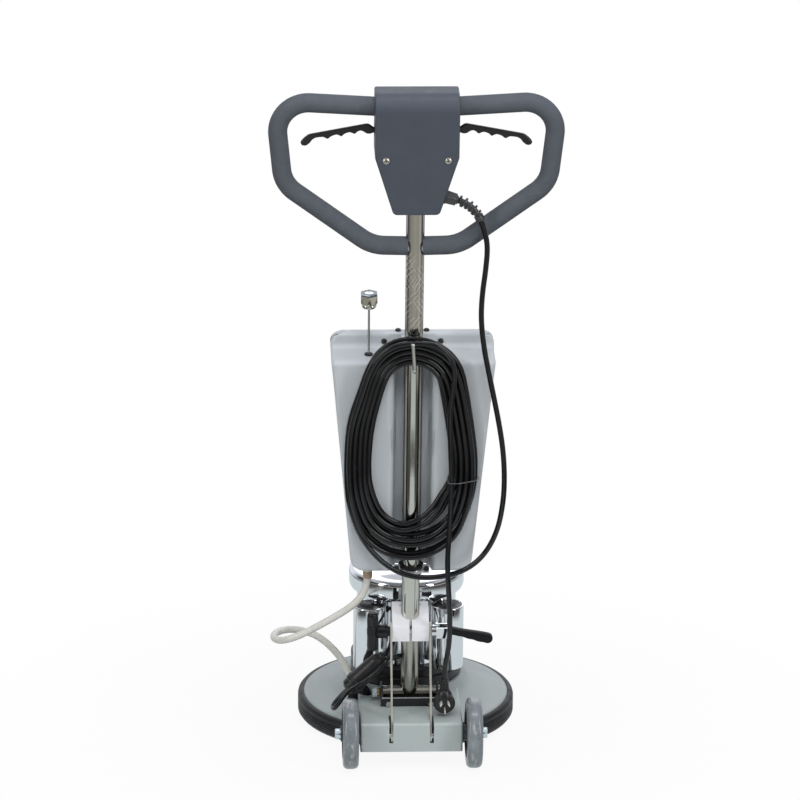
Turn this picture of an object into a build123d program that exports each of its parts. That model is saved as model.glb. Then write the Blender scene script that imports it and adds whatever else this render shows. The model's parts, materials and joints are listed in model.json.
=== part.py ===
"""Single-disc floor polisher: round base with a vertical motor, a tilting handle with a
water tank, two transport wheels, and a mains cord coiled on a hook behind the handle.

Frame: millimetres, +Z up, origin on the floor at the disc's axis, +Y towards the front,
-Y towards the operator. The handle is drawn in its own coordinates: x across, d up along
the handle tube from the tilt pivot, and w forward, square to the tube.
"""
import math
import os

from build123d import *

os.makedirs("parts", exist_ok=True)

# Base
bumper_radius = 200.0
bumper_bottom = 11.0
bumper_wall = 6.7
bumper_rib_count = 5
bumper_rib_pitch = 4.4
bumper_rib_depth = 1.6
cover_wall = 3.0
cover_edge_z = 43.0
cover_skirt_bottom = 22.0
cover_shoulder = 5.0
collar_radius = 108.0
collar_foot = 10.0
collar_foot_z = 68.0
collar_top = 91.0
seat_gap = 0.3

# Floor pad and its driver
pad_radius = 165.0
pad_height = 18.0
driver_radius = 158.0
driver_height = 12.0
driver_boss_radius = 48.0
driver_boss_height = 10.0

# Planetary gears
gear_module = 1.5
sun_teeth = 15
planet_teeth = 45
ring_teeth = 105
gear_width = 18.0
gear_floor = 99.0
pressure_angle = math.radians(20.0)
addendum = 0.85
dedendum = 1.1
tooth_thinning = 0.16
running_gap = 0.05
output_shaft_radius = 15.0
planet_pin_radius = 6.0

# Motor
gearbox_radius = 102.0
gearbox_top = 130.0
gearbox_plate = 9.0
motor_radius = 91.0
motor_top = 256.0
motor_wall = 3.0
motor_plate = 7.0
motor_shaft_radius = 10.0
stator_bore = 50.0
stator_bottom = 160.0
stator_top = 216.0
winding_height = 15.0
rotor_gap = 0.7
cap_radius = motor_radius + 14.5
cap_wall = 2.0
cap_side_bottom = 266.0
cap_side_top = 281.0
cap_top = 309.0
cap_dome_edge = motor_radius
cap_dome_rise = 12.0
fan_radius = 78.0
fan_blades = 9
capacitor_radius = 29.5
capacitor_wall = 2.0
capacitor_bearing = math.radians(53.8)
capacitor_reach = motor_radius + capacitor_radius - 0.3
capacitor_x = capacitor_reach * math.cos(capacitor_bearing)
capacitor_y = -capacitor_reach * math.sin(capacitor_bearing)
capacitor_bottom = 136.0
capacitor_top = 254.0

# Rear housing, wheels and pivots
housing_half_width = 92.0
housing_rear = -(bumper_radius + 68.0)
housing_top = 90.0
housing_bottom = 36.0
housing_front = -96.0
housing_wall = 2.5
wheel_radius = 63.5
wheel_width = 32.0
wheel_x = housing_half_width + 3.0 + wheel_width / 2
wheel_y = -(bumper_radius + 47.0)
wheel_rim_radius = 44.0
tyre_round = 9.0
axle_radius = 6.0
axle_fit = 0.05
axle_head_radius = 10.0
axle_head = 9.5
pivot_y = -156.0
pivot_z = 107.0
pivot_bolt_radius = 6.0
pivot_spacer = 6.0
pivot_nut = 9.0
pivot_tube_radius = 12.7
pivot_tube_half = 48.0
bracket_wall = 4.0
bracket_front = pivot_y + 28.0
bracket_rear = pivot_y - 30.0
bracket_ear_top = pivot_z + 15.0
bracket_lip = 17.0
brace_pin_y = -(bumper_radius + 56.0)
brace_pin_z = 62.0
brace_pin_radius = 4.0
brace_thickness = 3.0
brace_width = 20.0
brace_slot_gap = 2.0
brace_slot_reach = 82.0
brace_tip = 16.0
brace_sleeve_radius = 7.0
housing_slot_width = 7.0
housing_slot_shift = 1.4
housing_slot_front = -(bumper_radius + 23.0)
housing_slot_bottom = 52.0
lug_wall = 4.0
lug_front = -(bumper_radius + 44.0)
lug_bottom = 50.0
axle_inner = housing_half_width - 18.0

# Handle
handle_lean = 6.0
tube_radius = 16.0
tube_wall = 2.0
post_top = 134.8
lead_hole_height = 74.0
clamp_half_width = tube_radius + 17.0
clamp_rear = -(tube_radius + 14.0)
clamp_front = tube_radius + 7.0
clamp_bottom = 118.0
clamp_rear_top = 148.0
clamp_front_top = 172.0
clamp_slit = 4.5
clamp_hole_radius = 2.5
clamp_hole_x = 17.0
clamp_hole_w = 16.0
brace_x = clamp_half_width + brace_thickness / 2 + 0.6
lug_x = brace_x + 5.9
clamp_fit = 0.05
bolt_radius = 4.0
bolt_height = 135.4
bolt_w = -(tube_radius + 7.0)
knob_hub_radius = 12.5
knob_hub_end = 58.0
knob_bar_radius = 10.5
knob_bar_length = 75.0
knob_bar_round = 7.0
fork_end = 66.0
fork_pin_x = 60.0
fork_pin_rise = 4.0
fork_half_height = 10.0
cam_lever_thickness = 14.0
cam_lever_end_x = 139.0
cam_lever_drop = 19.0
cam_lever_radius = 9.0

# Handle loop, its grips and levers
loop_radius = 12.5
loop_wall = 2.0
grip_radius = 16.5
bar_height = 1127.0
loop_points = [
    (10.0, bar_height - 255.5),
    (75.0, bar_height - 254.0),
    (228.0, bar_height - 140.0),
    (243.0, bar_height + 10.0),
    (58.0, bar_height - 0.8),
]
tube_top = bar_height - loop_radius - 2.0
loop_bends = [70.0, 58.0, 52.0]
bar_bend = 400.0
box_half_width = 72.0
box_top = bar_height + 28.0
box_taper_height = bar_height - 81.0
box_bottom = bar_height - 184.5
box_bottom_half = 39.5
box_rear = -40.0
box_front = 30.0
box_wall = 3.0
box_corner = 9.0
box_crown = 28.0
box_front_crown = 10.0
box_edge = 3.5
box_gap = 0.2
box_screw_x = 53.0
box_screw_height = box_taper_height - 3.0
lever_pivot_x = 52.0
lever_pivot_height = bar_height - 40.0
lever_boss = 8.5
lever_pin_radius = 3.0
lever_thickness = 14.0
lever_clear = 1.0
lever_swing = 10.0

# Water tank
tank_rear = -12.0
tank_front = 128.0
tank_bottom = 247.0
tank_top = 685.0
tank_ledge = 658.0
tank_step = 55.0
tank_slope_start = 70.0
tank_bottom_half = 106.8
tank_top_half = 146.5
tank_wall = 4.0
groove_half = 30.0
tank_corner = 24.0
tank_rim = 10.0
neck_radius = 18.0
neck_bore = 14.5
neck_height = 5.0
filler_slide = 8.0
filler_skirt = 4.5
filler_cap_height = 12.0
filler_cap_wall = 3.5
valve_x = -77.0
valve_w = 20.0
valve_rod_radius = 2.0
valve_knob_radius = 15.0
valve_knob_bottom = 748.0
valve_knob_top = 775.5
valve_plug_radius = 9.0
bush_radius = tube_radius + 4.8
ring_radius = bush_radius + 3.7
ring_bottom = 244.0
ring_height = 26.0
groove_depth = ring_radius + 1.5

# Mains cord, its hook and plug, and the water hose
cord_radius = 4.8
hook_radius = 3.5
hook_height = 653.4
hook_w = -52.0
hook_top = 709.0
hook_lean = 4.0
coil_x = -3.5
coil_half_width = 113.5
coil_top = 708.0
coil_bottom = 281.0
coil_waist = 461.0
coil_side_pitch = 10.2
coil_top_crown = 96.0
coil_bottom_crown = 100.0
coil_top_run = 0.79
coil_bottom_run = 0.71
coil_bottom_pitch = 17.0
coil_turns_in = 4.5
coil_quarters = 37
coil_layer_w = -(tube_radius + cord_radius + 0.6)
coil_layer_pitch = 10.4
gland_w = -27.0
plug_radius = 19.3
plug_thickness = 24.0
plug_centre = (60.0, -229.0, 117.0)
plug_relief_top = 162.0
hose_radius = 6.5
hose_wall = 1.5
lead_radius = 4.0

pivot = Vector(0, pivot_y, pivot_z)
lean = math.radians(handle_lean)
tube_up = Vector(0, -math.sin(lean), math.cos(lean))
tube_forward = Vector(0, math.cos(lean), math.sin(lean))


def handle_point(x, d, w):
    """A point given across, up and forward of the handle tube, in the object's frame."""
    return pivot + Vector(x, 0, 0) + tube_up * d + tube_forward * w


def cross_plane(d):
    """The plane square to the handle tube at height d, with x across."""
    return Plane(origin=handle_point(0, d, 0), x_dir=(1, 0, 0), z_dir=tube_up)


def rear_plane(w):
    """The plane seen from behind the handle: local x across, local y up the tube."""
    return Plane(origin=handle_point(0, 0, w), x_dir=(1, 0, 0), z_dir=tube_forward * -1)


def side_plane(x):
    """The plane seen from the handle's right: local x forward, local y up the tube."""
    return Plane(origin=handle_point(x, 0, 0), x_dir=tube_forward, z_dir=(1, 0, 0))


def bend_radii(points):
    """The largest arc that each corner of a cord's route leaves room for."""
    radii = []
    for before, corner, after in zip(points, points[1:], points[2:]):
        turn = math.radians((corner - before).get_angle(after - corner))
        run = min((corner - before).length, (after - corner).length)
        radii.append(0.45 * run / math.tan(turn / 2))
    return radii


def cord_tube(name, points, radius, bore=0.0):
    """A cord's solid along straight runs and tangent arcs, with its radii printed."""
    radii = bend_radii(points)
    print(name, "bend radii", [round(r) for r in radii])
    with BuildPart() as tube:
        with BuildLine() as route:
            FilletPolyline(*points, radius=radii)
        start = Plane(origin=points[0], z_dir=points[1] - points[0])
        with BuildSketch(start):
            Circle(radius)
            if bore:
                Circle(bore, mode=Mode.SUBTRACT)
        sweep(path=route.line)
    length = sum(edge.length for edge in route.line.edges())
    section = math.pi * (radius**2 - bore**2)
    print(name, "length", round(length), "volume ratio", round(tube.part.volume / (section * length), 4))
    return tube


def gear_face(teeth, tip, root, slack):
    """A spur gear's outline about the origin, with one tooth centred on +X."""
    pitch_radius = gear_module * teeth / 2
    base_radius = pitch_radius * math.cos(pressure_angle)
    involute = math.tan(pressure_angle) - pressure_angle
    half_pitch = math.pi / (2 * teeth) - slack / (2 * pitch_radius)

    def flank(radius, turn, side):
        """A point of a tooth's flank at a radius."""
        angle = math.acos(min(1.0, base_radius / radius))
        half = half_pitch + involute - (math.tan(angle) - angle)
        bearing = turn + side * half
        return (radius * math.cos(bearing), radius * math.sin(bearing))

    low, high = pitch_radius - root * gear_module, pitch_radius + tip * gear_module
    middle = (low + high) / 2
    with BuildSketch() as face:
        with BuildLine():
            for tooth in range(teeth):
                turn = 2 * math.pi * tooth / teeth
                following = turn + 2 * math.pi / teeth
                ThreePointArc(flank(low, turn, -1), flank(middle, turn, -1), flank(high, turn, -1))
                Line(flank(high, turn, -1), flank(high, turn, 1))
                ThreePointArc(flank(high, turn, 1), flank(middle, turn, 1), flank(low, turn, 1))
                Line(flank(low, turn, 1), flank(low, following, -1))
        make_face()
    return face.sketch


# Base cover: a low cone with a raised collar, a hub below it for the output bearing, and a
# skirt inside the bumper
skirt_radius = bumper_radius - bumper_wall
cover_edge = skirt_radius - cover_shoulder
cover_outer = [
    (skirt_radius, cover_skirt_bottom),
    (skirt_radius, cover_edge_z - cover_shoulder * 0.8),
    (cover_edge, cover_edge_z),
    (collar_radius + collar_foot, collar_foot_z),
    (collar_radius, collar_top),
]
bearing_radius = output_shaft_radius + 16.0
bearing_height = 16.0
hub_wall = 7.0
hub_bottom = collar_top - 27.0
with BuildPart() as base_cover:
    with BuildSketch(Plane.XZ):
        with BuildLine():
            inner = [(r - cover_wall, z - cover_wall) for r, z in cover_outer[1:]]
            Polyline(
                *cover_outer,
                (bearing_radius, collar_top),
                (bearing_radius, hub_bottom),
                (bearing_radius + hub_wall, hub_bottom),
                (bearing_radius + hub_wall, collar_top - cover_wall),
                *reversed(inner),
                (skirt_radius - cover_wall, cover_skirt_bottom),
                close=True,
            )
        make_face()
    revolve(axis=Axis.Z)

# Bumper: a rubber ring with fine ribs, clipped over the cover's edge
rib_start = bumper_bottom + 4.0
with BuildPart() as bumper_ring:
    with BuildSketch(Plane.XZ):
        with BuildLine():
            ribs = []
            for rib in range(bumper_rib_count):
                foot = rib_start + rib * bumper_rib_pitch
                ribs.append((bumper_radius, foot))
                ribs.append((bumper_radius, foot + bumper_rib_pitch * 0.55))
                ribs.append((bumper_radius - bumper_rib_depth, foot + bumper_rib_pitch * 0.7))
                ribs.append((bumper_radius - bumper_rib_depth, foot + bumper_rib_pitch * 0.85))
            Polyline(
                (skirt_radius + seat_gap, bumper_bottom + 1.0),
                (bumper_radius - 4.0, bumper_bottom),
                *ribs,
                (bumper_radius, rib_start + bumper_rib_count * bumper_rib_pitch),
                (bumper_radius - 1.5, cover_edge_z - 3.5),
                (cover_edge + seat_gap, cover_edge_z + 2.4),
                (cover_edge + seat_gap, cover_edge_z + seat_gap),
                (skirt_radius + seat_gap, cover_edge_z - cover_shoulder * 0.8 + seat_gap),
                close=True,
            )
        make_face()
    revolve(axis=Axis.Z)

# Gearbox housing: the black ring under the motor, with the ring gear's teeth inside
with BuildPart() as gearbox_housing:
    with BuildSketch(Plane.XZ):
        with BuildLine():
            groove = 3.0
            middle = (collar_top + gearbox_top) / 2
            Polyline(
                (0, collar_top),
                (gearbox_radius, collar_top),
                (gearbox_radius, middle - groove),
                (gearbox_radius - groove, middle),
                (gearbox_radius, middle + groove),
                (gearbox_radius, gearbox_top - groove),
                (gearbox_radius - groove, gearbox_top),
                (0, gearbox_top),
                close=True,
            )
        make_face()
    revolve(axis=Axis.Z)
    with BuildSketch(Plane.XY.offset(collar_top)):
        add(gear_face(ring_teeth, dedendum, addendum, -tooth_thinning))
    extrude(amount=gearbox_top - gearbox_plate - collar_top, mode=Mode.SUBTRACT)
    with BuildSketch(Plane.XY.offset(gearbox_top)):
        Circle(motor_shaft_radius + 11.0)
    extrude(amount=-gearbox_plate, mode=Mode.SUBTRACT)

# Planet carrier: output shaft, carrier plate, three planet pins and the driver's flange
planet_orbit = gear_module * (sun_teeth + planet_teeth) / 2
carrier_plate = 5.0
carrier_floor = gear_floor - 1.0 - carrier_plate
driver_top = pad_height + driver_height + driver_boss_height
flange_height = 6.0
with BuildPart() as planet_carrier:
    with BuildSketch(Plane.XY.offset(driver_top)):
        Circle(driver_boss_radius - 4.0)
    extrude(amount=flange_height)
    with BuildSketch(Plane.XY.offset(driver_top)):
        Circle(output_shaft_radius - running_gap)
    extrude(amount=carrier_floor - driver_top)
    with BuildSketch(Plane.XY.offset(carrier_floor)):
        Circle(planet_orbit + planet_pin_radius + 6.0)
    extrude(amount=carrier_plate)
    with BuildSketch(Plane.XY.offset(carrier_floor + carrier_plate)):
        with PolarLocations(planet_orbit, 3):
            Circle(planet_pin_radius + 3.0)
    extrude(amount=gear_floor - carrier_floor - carrier_plate - 0.2)
    with BuildSketch(Plane.XY.offset(carrier_floor + carrier_plate)):
        with PolarLocations(planet_orbit, 3):
            Circle(planet_pin_radius)
    extrude(amount=gear_width + 1.5)

planet_gears = {}
for number in range(3):
    with BuildPart() as planet_gear:
        outward = Vector(1, 0, 0).rotate(Axis.Z, 120 * number)
        centre = outward * planet_orbit + Vector(0, 0, gear_floor)
        with BuildSketch(Plane(origin=centre, x_dir=outward)):
            add(gear_face(planet_teeth, addendum, dedendum, tooth_thinning))
            Circle(planet_pin_radius + running_gap, mode=Mode.SUBTRACT)
            with PolarLocations(planet_orbit * 0.45, 5):
                Circle(5.5, mode=Mode.SUBTRACT)
        extrude(amount=gear_width)
    planet_gears[f"planet_gear_{number + 1}"] = planet_gear

# Pad driver and floor pad
with BuildPart() as pad_driver:
    with BuildSketch(Plane.XY.offset(pad_height)):
        Circle(driver_radius)
    extrude(amount=driver_height)
    with BuildSketch(Plane.XY.offset(pad_height + driver_height)):
        Circle(driver_boss_radius)
    extrude(amount=driver_boss_height)
    with BuildSketch(Plane.XY.offset(pad_height + driver_height)):
        with PolarLocations((driver_radius + driver_boss_radius) / 2, 6):
            Circle(30.0)
    extrude(amount=-driver_height / 2, mode=Mode.SUBTRACT)
    chamfer(pad_driver.edges().group_by(Axis.Z)[-1], 3.0)

with BuildPart() as floor_pad:
    with BuildSketch():
        Circle(pad_radius)
    extrude(amount=pad_height)
    fillet(floor_pad.edges().group_by(Axis.Z)[-1], 4.0)

# Motor: body, stator, rotor on its shaft with the sun gear, fan and top cap
with BuildPart() as motor_body:
    with BuildSketch(Plane.XY.offset(gearbox_top)):
        Circle(motor_radius)
    extrude(amount=motor_top - gearbox_top)
    with BuildSketch(Plane.XY.offset(gearbox_top)):
        Circle(motor_radius - motor_wall)
    extrude(amount=motor_top - motor_plate - gearbox_top, mode=Mode.SUBTRACT)
    with BuildSketch(Plane.XY.offset(motor_top)):
        Circle(motor_shaft_radius + 9.0)
    extrude(amount=-motor_plate, mode=Mode.SUBTRACT)
    with BuildSketch(Plane.XY.offset(motor_top)):
        with PolarLocations(motor_radius * 0.62, 8):
            SlotOverall(34, 12, rotation=90)
    extrude(amount=-motor_plate, mode=Mode.SUBTRACT)

stator_radius = motor_radius - motor_wall - seat_gap
with BuildPart() as stator:
    with BuildSketch(Plane.XZ):
        with BuildLine():
            Polyline(
                (stator_bore, stator_bottom),
                (stator_bore + 6, stator_bottom),
                (stator_bore + 9, stator_bottom - winding_height),
                (stator_radius - 12, stator_bottom - winding_height),
                (stator_radius - 8, stator_bottom),
                (stator_radius, stator_bottom),
                (stator_radius, stator_top),
                (stator_radius - 8, stator_top),
                (stator_radius - 12, stator_top + winding_height),
                (stator_bore + 9, stator_top + winding_height),
                (stator_bore + 6, stator_top),
                (stator_bore, stator_top),
                close=True,
            )
        make_face()
    revolve(axis=Axis.Z)

fan_floor = motor_top + 5.0
fan_height = 17.0
with BuildPart() as rotor:
    with BuildSketch(Plane.XY.offset(gear_floor)):
        add(gear_face(sun_teeth, addendum, dedendum, tooth_thinning))
    extrude(amount=gear_width)
    with BuildSketch(Plane.XY.offset(gear_floor + gear_width)):
        Circle(motor_shaft_radius - 1.5)
    extrude(amount=gearbox_top - gearbox_plate - gear_floor - gear_width)
    with BuildSketch(Plane.XY.offset(gearbox_top - gearbox_plate)):
        Circle(motor_shaft_radius)
    extrude(amount=fan_floor + fan_height - gearbox_top + gearbox_plate + 2.0)
    with BuildSketch(Plane.XY.offset(stator_bottom)):
        Circle(stator_bore - rotor_gap)
    extrude(amount=stator_top - stator_bottom)
    for end, height in ((stator_bottom, -6.0), (stator_top, 6.0)):
        with BuildSketch(Plane.XY.offset(end)):
            Circle(stator_bore - 4.0)
            Circle(stator_bore - 14.0, mode=Mode.SUBTRACT)
        extrude(amount=height)

with BuildPart() as cooling_fan:
    with BuildSketch(Plane.XY.offset(fan_floor)):
        Circle(fan_radius)
    extrude(amount=2.0)
    with BuildSketch(Plane.XY.offset(fan_floor)):
        Circle(motor_shaft_radius + 8.0)
    extrude(amount=fan_height)
    with BuildSketch(Plane.XY.offset(fan_floor)):
        with PolarLocations((fan_radius + motor_shaft_radius) / 2, fan_blades):
            Rectangle(fan_radius - motor_shaft_radius - 14.0, 2.0, rotation=12)
    extrude(amount=fan_height)
    with BuildSketch(Plane.XY.offset(fan_floor)):
        Circle(motor_shaft_radius + running_gap)
    extrude(amount=fan_height, mode=Mode.SUBTRACT)

with BuildPart() as motor_cap:
    with BuildSketch(Plane.XZ):
        with BuildLine():
            lip = motor_radius + seat_gap
            Polyline((lip, motor_top - 1.0), (lip + 3.0, motor_top - 1.0))
            ThreePointArc(
                (lip + 3.0, motor_top - 1.0),
                (cap_radius - 2.2, cap_side_bottom - 6.0),
                (cap_radius, cap_side_bottom),
            )
            Line((cap_radius, cap_side_bottom), (cap_radius, cap_side_top))
            dome_radius = (cap_dome_edge**2 + cap_dome_rise**2) / (2 * cap_dome_rise)
            dome_angle = math.degrees(math.asin(cap_dome_edge / dome_radius))
            dome_centre = (0, cap_top - dome_radius)
            dome = CenterArc(dome_centre, dome_radius, 90 - dome_angle, dome_angle)
            ceiling = CenterArc(dome_centre, dome_radius - cap_wall, 90 - dome_angle, dome_angle)
            ThreePointArc((cap_radius, cap_side_top), (cap_radius - 4.0, cap_side_top + 9.7), dome @ 0)
            Line(dome @ 1, ceiling @ 1)
            ThreePointArc(
                ceiling @ 0,
                (cap_radius - 5.8, cap_side_top + 8.6),
                (cap_radius - cap_wall, cap_side_top),
            )
            Line((cap_radius - cap_wall, cap_side_top), (cap_radius - cap_wall, cap_side_bottom))
            ThreePointArc(
                (cap_radius - cap_wall, cap_side_bottom),
                (cap_radius - cap_wall - 2.5, cap_side_bottom - 5.0),
                (lip + 2.0, motor_top + cap_wall),
            )
            Polyline((lip + 2.0, motor_top + cap_wall), (lip, motor_top + cap_wall), (lip, motor_top - 1.0))
        make_face()
    revolve(axis=Axis.Z)

# Bearings: the motor shaft's two and the output shaft's one
with BuildPart() as bearings:
    for floor, outer, bore, height in (
        (gearbox_top - gearbox_plate, motor_shaft_radius + 11.0, motor_shaft_radius, gearbox_plate),
        (motor_top - motor_plate, motor_shaft_radius + 9.0, motor_shaft_radius, motor_plate),
        (hub_bottom + 4.0, bearing_radius, output_shaft_radius, bearing_height),
    ):
        with BuildSketch(Plane.XY.offset(floor)):
            Circle(outer - 0.02)
            Circle(bore + running_gap, mode=Mode.SUBTRACT)
        extrude(amount=height)

# Capacitor cans against the motor's rear, each with its capacitor
with BuildPart() as capacitor_covers:
    can_centres = [(-capacitor_x, capacitor_y), (capacitor_x, capacitor_y)]
    with BuildSketch(Plane.XY.offset(capacitor_bottom)):
        with Locations(*can_centres):
            Circle(capacitor_radius)
    extrude(amount=capacitor_top - capacitor_bottom)
    fillet(capacitor_covers.edges().group_by(Axis.Z)[-1], 2.5)
    with BuildSketch(Plane.XY.offset(capacitor_bottom)):
        with Locations(*can_centres):
            Circle(capacitor_radius - capacitor_wall)
    extrude(amount=capacitor_top - capacitor_bottom - capacitor_wall, mode=Mode.SUBTRACT)
    with BuildSketch(Plane.XY.offset(capacitor_bottom)):
        Circle(motor_radius + seat_gap / 2)
    extrude(amount=capacitor_top - capacitor_bottom, mode=Mode.SUBTRACT)

with BuildPart() as capacitors:
    with BuildSketch(Plane.XY.offset(capacitor_bottom + 3.0)):
        with Locations(*can_centres):
            Circle(capacitor_radius - capacitor_wall - 0.6)
    extrude(amount=capacitor_top - capacitor_bottom - 12.0)

# Rear housing: a folded sheet box over the axle, seated on the cover, with two brace slots
with BuildPart() as wheel_housing:
    with BuildSketch(Plane.XY.offset(housing_bottom)):
        with Locations((0, (housing_rear + housing_front) / 2)):
            Rectangle(2 * housing_half_width, housing_front - housing_rear)
    extrude(amount=housing_top - housing_bottom)
    fillet(wheel_housing.edges().filter_by(Axis.X).group_by(Axis.Y)[0].sort_by(Axis.Z)[-1], 5.0)
    fillet(wheel_housing.edges().filter_by(Axis.Z).group_by(Axis.Y)[0], 4.0)
    with BuildSketch(Plane.XY.offset(housing_bottom)):
        with Locations((0, (housing_rear + housing_front) / 2)):
            inner_width = 2 * (housing_half_width - housing_wall)
            Rectangle(inner_width, housing_front - housing_rear - 2 * housing_wall)
    extrude(amount=housing_top - housing_bottom - housing_wall, mode=Mode.SUBTRACT)
    with BuildSketch(Plane.XZ):
        with BuildLine():
            Polyline(
                (0, 0),
                (bumper_radius + 1.0, 0),
                (bumper_radius + 1.0, cover_edge_z),
                (cover_edge, cover_edge_z + 3.0),
                (collar_radius + collar_foot + 3 * seat_gap, collar_foot_z + seat_gap),
                (collar_radius + seat_gap, collar_top + seat_gap),
                (0, collar_top + seat_gap),
                close=True,
            )
        make_face()
    revolve(axis=Axis.Z, mode=Mode.SUBTRACT)
    for side in (-1, 1):
        slot_x = side * (brace_x + housing_slot_shift)
        with BuildSketch(Plane.YZ.offset(slot_x - housing_slot_width / 2)):
            slot_rear = housing_rear - 1.0
            slot_top = housing_top + 1.0
            with Locations(((slot_rear + housing_slot_front) / 2, (housing_slot_bottom + slot_top) / 2)):
                Rectangle(housing_slot_front - slot_rear, slot_top - housing_slot_bottom)
        extrude(amount=housing_slot_width, mode=Mode.SUBTRACT)
    for side in (-1, 1):
        with BuildSketch(Plane.YZ.offset(side * lug_x)):
            lug_rear = housing_rear + housing_wall / 2
            lug_top = housing_top - housing_wall / 2
            with Locations(((lug_rear + lug_front) / 2, (lug_bottom + lug_top) / 2)):
                Rectangle(lug_front - lug_rear, lug_top - lug_bottom)
        extrude(amount=side * lug_wall)
        with BuildSketch(Plane.YZ.offset(side * housing_half_width)):
            with Locations((wheel_y, wheel_radius)):
                Circle(axle_radius + axle_fit)
        extrude(amount=-side * 2 * housing_wall, mode=Mode.SUBTRACT)
    with BuildSketch(Plane.YZ.offset(-lug_x - lug_wall)):
        with Locations((brace_pin_y, brace_pin_z)):
            Circle(brace_pin_radius + axle_fit)
    extrude(amount=2 * (lug_x + lug_wall), mode=Mode.SUBTRACT)

with BuildPart() as wheel_axles:
    axle_end = wheel_x + wheel_width / 2 + 0.6
    for side in (-1, 1):
        with BuildSketch(Plane.YZ.offset(side * axle_inner)):
            with Locations((wheel_y, wheel_radius)):
                Circle(axle_radius)
        extrude(amount=side * (axle_end - axle_inner))
        for start, height in ((axle_end, axle_head), (housing_half_width - housing_wall - 0.05, -9.0)):
            with BuildSketch(Plane.YZ.offset(side * start)):
                with Locations((wheel_y, wheel_radius)):
                    RegularPolygon(axle_head_radius, 6)
            extrude(amount=side * height)

# Wheels: a rubber tyre on a moulded hub with a dished web
wheel_plane = Plane(origin=(0, wheel_y, wheel_radius))
wheel_axis = Axis((0, wheel_y, wheel_radius), (1, 0, 0))
wheel_parts = {}
for side, word in ((-1, "left"), (1, "right")):
    inner_face = wheel_x - wheel_width / 2
    outer_face = wheel_x + wheel_width / 2
    with BuildPart() as hub:
        with BuildSketch(wheel_plane):
            with BuildLine():
                Polyline(
                    (side * (housing_half_width + 0.6), axle_radius + running_gap),
                    (side * (housing_half_width + 0.6), 14.0),
                    (side * (inner_face + 8.0), 16.0),
                    (side * (inner_face + 11.0), wheel_rim_radius - 6.0),
                    (side * (inner_face + 3.0), wheel_rim_radius - 4.0),
                    (side * (inner_face + 3.0), wheel_rim_radius),
                    (side * (outer_face - 3.0), wheel_rim_radius),
                    (side * (outer_face - 3.0), wheel_rim_radius - 4.0),
                    (side * (outer_face - 11.0), wheel_rim_radius - 6.0),
                    (side * (outer_face - 8.0), 16.0),
                    (side * outer_face, 14.0),
                    (side * outer_face, axle_radius + running_gap),
                    close=True,
                )
            make_face()
        revolve(axis=wheel_axis)
    with BuildPart() as tyre:
        with BuildSketch(wheel_plane):
            with BuildLine():
                left_wall = side * inner_face
                right_wall = side * outer_face
                shoulder = wheel_radius - tyre_round
                bulge = tyre_round * (1 - math.sqrt(0.5))
                Line((left_wall + side * 1.5, wheel_rim_radius + 0.1), (left_wall, shoulder))
                ThreePointArc(
                    (left_wall, shoulder),
                    (left_wall + side * bulge, wheel_radius - bulge),
                    (left_wall + side * tyre_round, wheel_radius),
                )
                Line(
                    (left_wall + side * tyre_round, wheel_radius),
                    (right_wall - side * tyre_round, wheel_radius),
                )
                ThreePointArc(
                    (right_wall - side * tyre_round, wheel_radius),
                    (right_wall - side * bulge, wheel_radius - bulge),
                    (right_wall, shoulder),
                )
                Line((right_wall, shoulder), (right_wall - side * 1.5, wheel_rim_radius + 0.1))
                Line(
                    (right_wall - side * 1.5, wheel_rim_radius + 0.1),
                    (left_wall + side * 1.5, wheel_rim_radius + 0.1),
                )
            make_face()
        revolve(axis=wheel_axis)
    wheel_parts[f"{word}_hub"] = hub
    wheel_parts[f"{word}_tyre"] = tyre

# Tilt pivot: a U bracket bolted to the housing, and the bolt that the handle turns on
with BuildPart() as pivot_bracket:
    ear_inner = pivot_tube_half + 0.5
    ear_outer = ear_inner + bracket_wall
    with BuildSketch(Plane.XY.offset(housing_top)):
        with Locations((0, (bracket_front + bracket_rear) / 2)):
            Rectangle(2 * ear_outer, bracket_front - bracket_rear)
    extrude(amount=bracket_wall * 0.75)
    with BuildSketch(Plane.XZ.offset(-bracket_rear)):
        with Locations((0, housing_top + bracket_lip / 2)):
            Rectangle(2 * ear_outer, bracket_lip)
    extrude(amount=-bracket_wall)
    for side in (-1, 1):
        with BuildSketch(Plane.YZ.offset(side * ear_inner)):
            with BuildLine():
                Polyline(
                    (bracket_rear, housing_top),
                    (bracket_rear, housing_top + bracket_lip),
                    (pivot_y - 14.0, bracket_ear_top),
                    (pivot_y + 14.0, bracket_ear_top),
                    (bracket_front, housing_top + bracket_lip),
                    (bracket_front, housing_top),
                    close=True,
                )
            make_face()
        extrude(amount=side * bracket_wall)
    with BuildSketch(Plane.YZ.offset(-ear_outer)):
        with Locations((pivot_y, pivot_z)):
            Circle(pivot_bolt_radius + 0.05)
    extrude(amount=2 * ear_outer, mode=Mode.SUBTRACT)

with BuildPart() as pivot_bolt:
    with BuildSketch(Plane.YZ.offset(-ear_outer - pivot_spacer - pivot_nut)):
        with Locations((pivot_y, pivot_z)):
            Circle(pivot_bolt_radius)
    extrude(amount=2 * ear_outer + pivot_spacer + pivot_nut)
    with BuildSketch(Plane.YZ.offset(ear_outer)):
        with Locations((pivot_y, pivot_z)):
            RegularPolygon(10.0, 6)
    extrude(amount=7.0)
    with BuildSketch(Plane.YZ.offset(-ear_outer)):
        with Locations((pivot_y, pivot_z)):
            Circle(7.5)
    extrude(amount=-pivot_spacer)
    with BuildSketch(Plane.YZ.offset(-ear_outer - pivot_spacer)):
        with Locations((pivot_y, pivot_z)):
            RegularPolygon(10.0, 6)
    extrude(amount=-pivot_nut)

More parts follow.
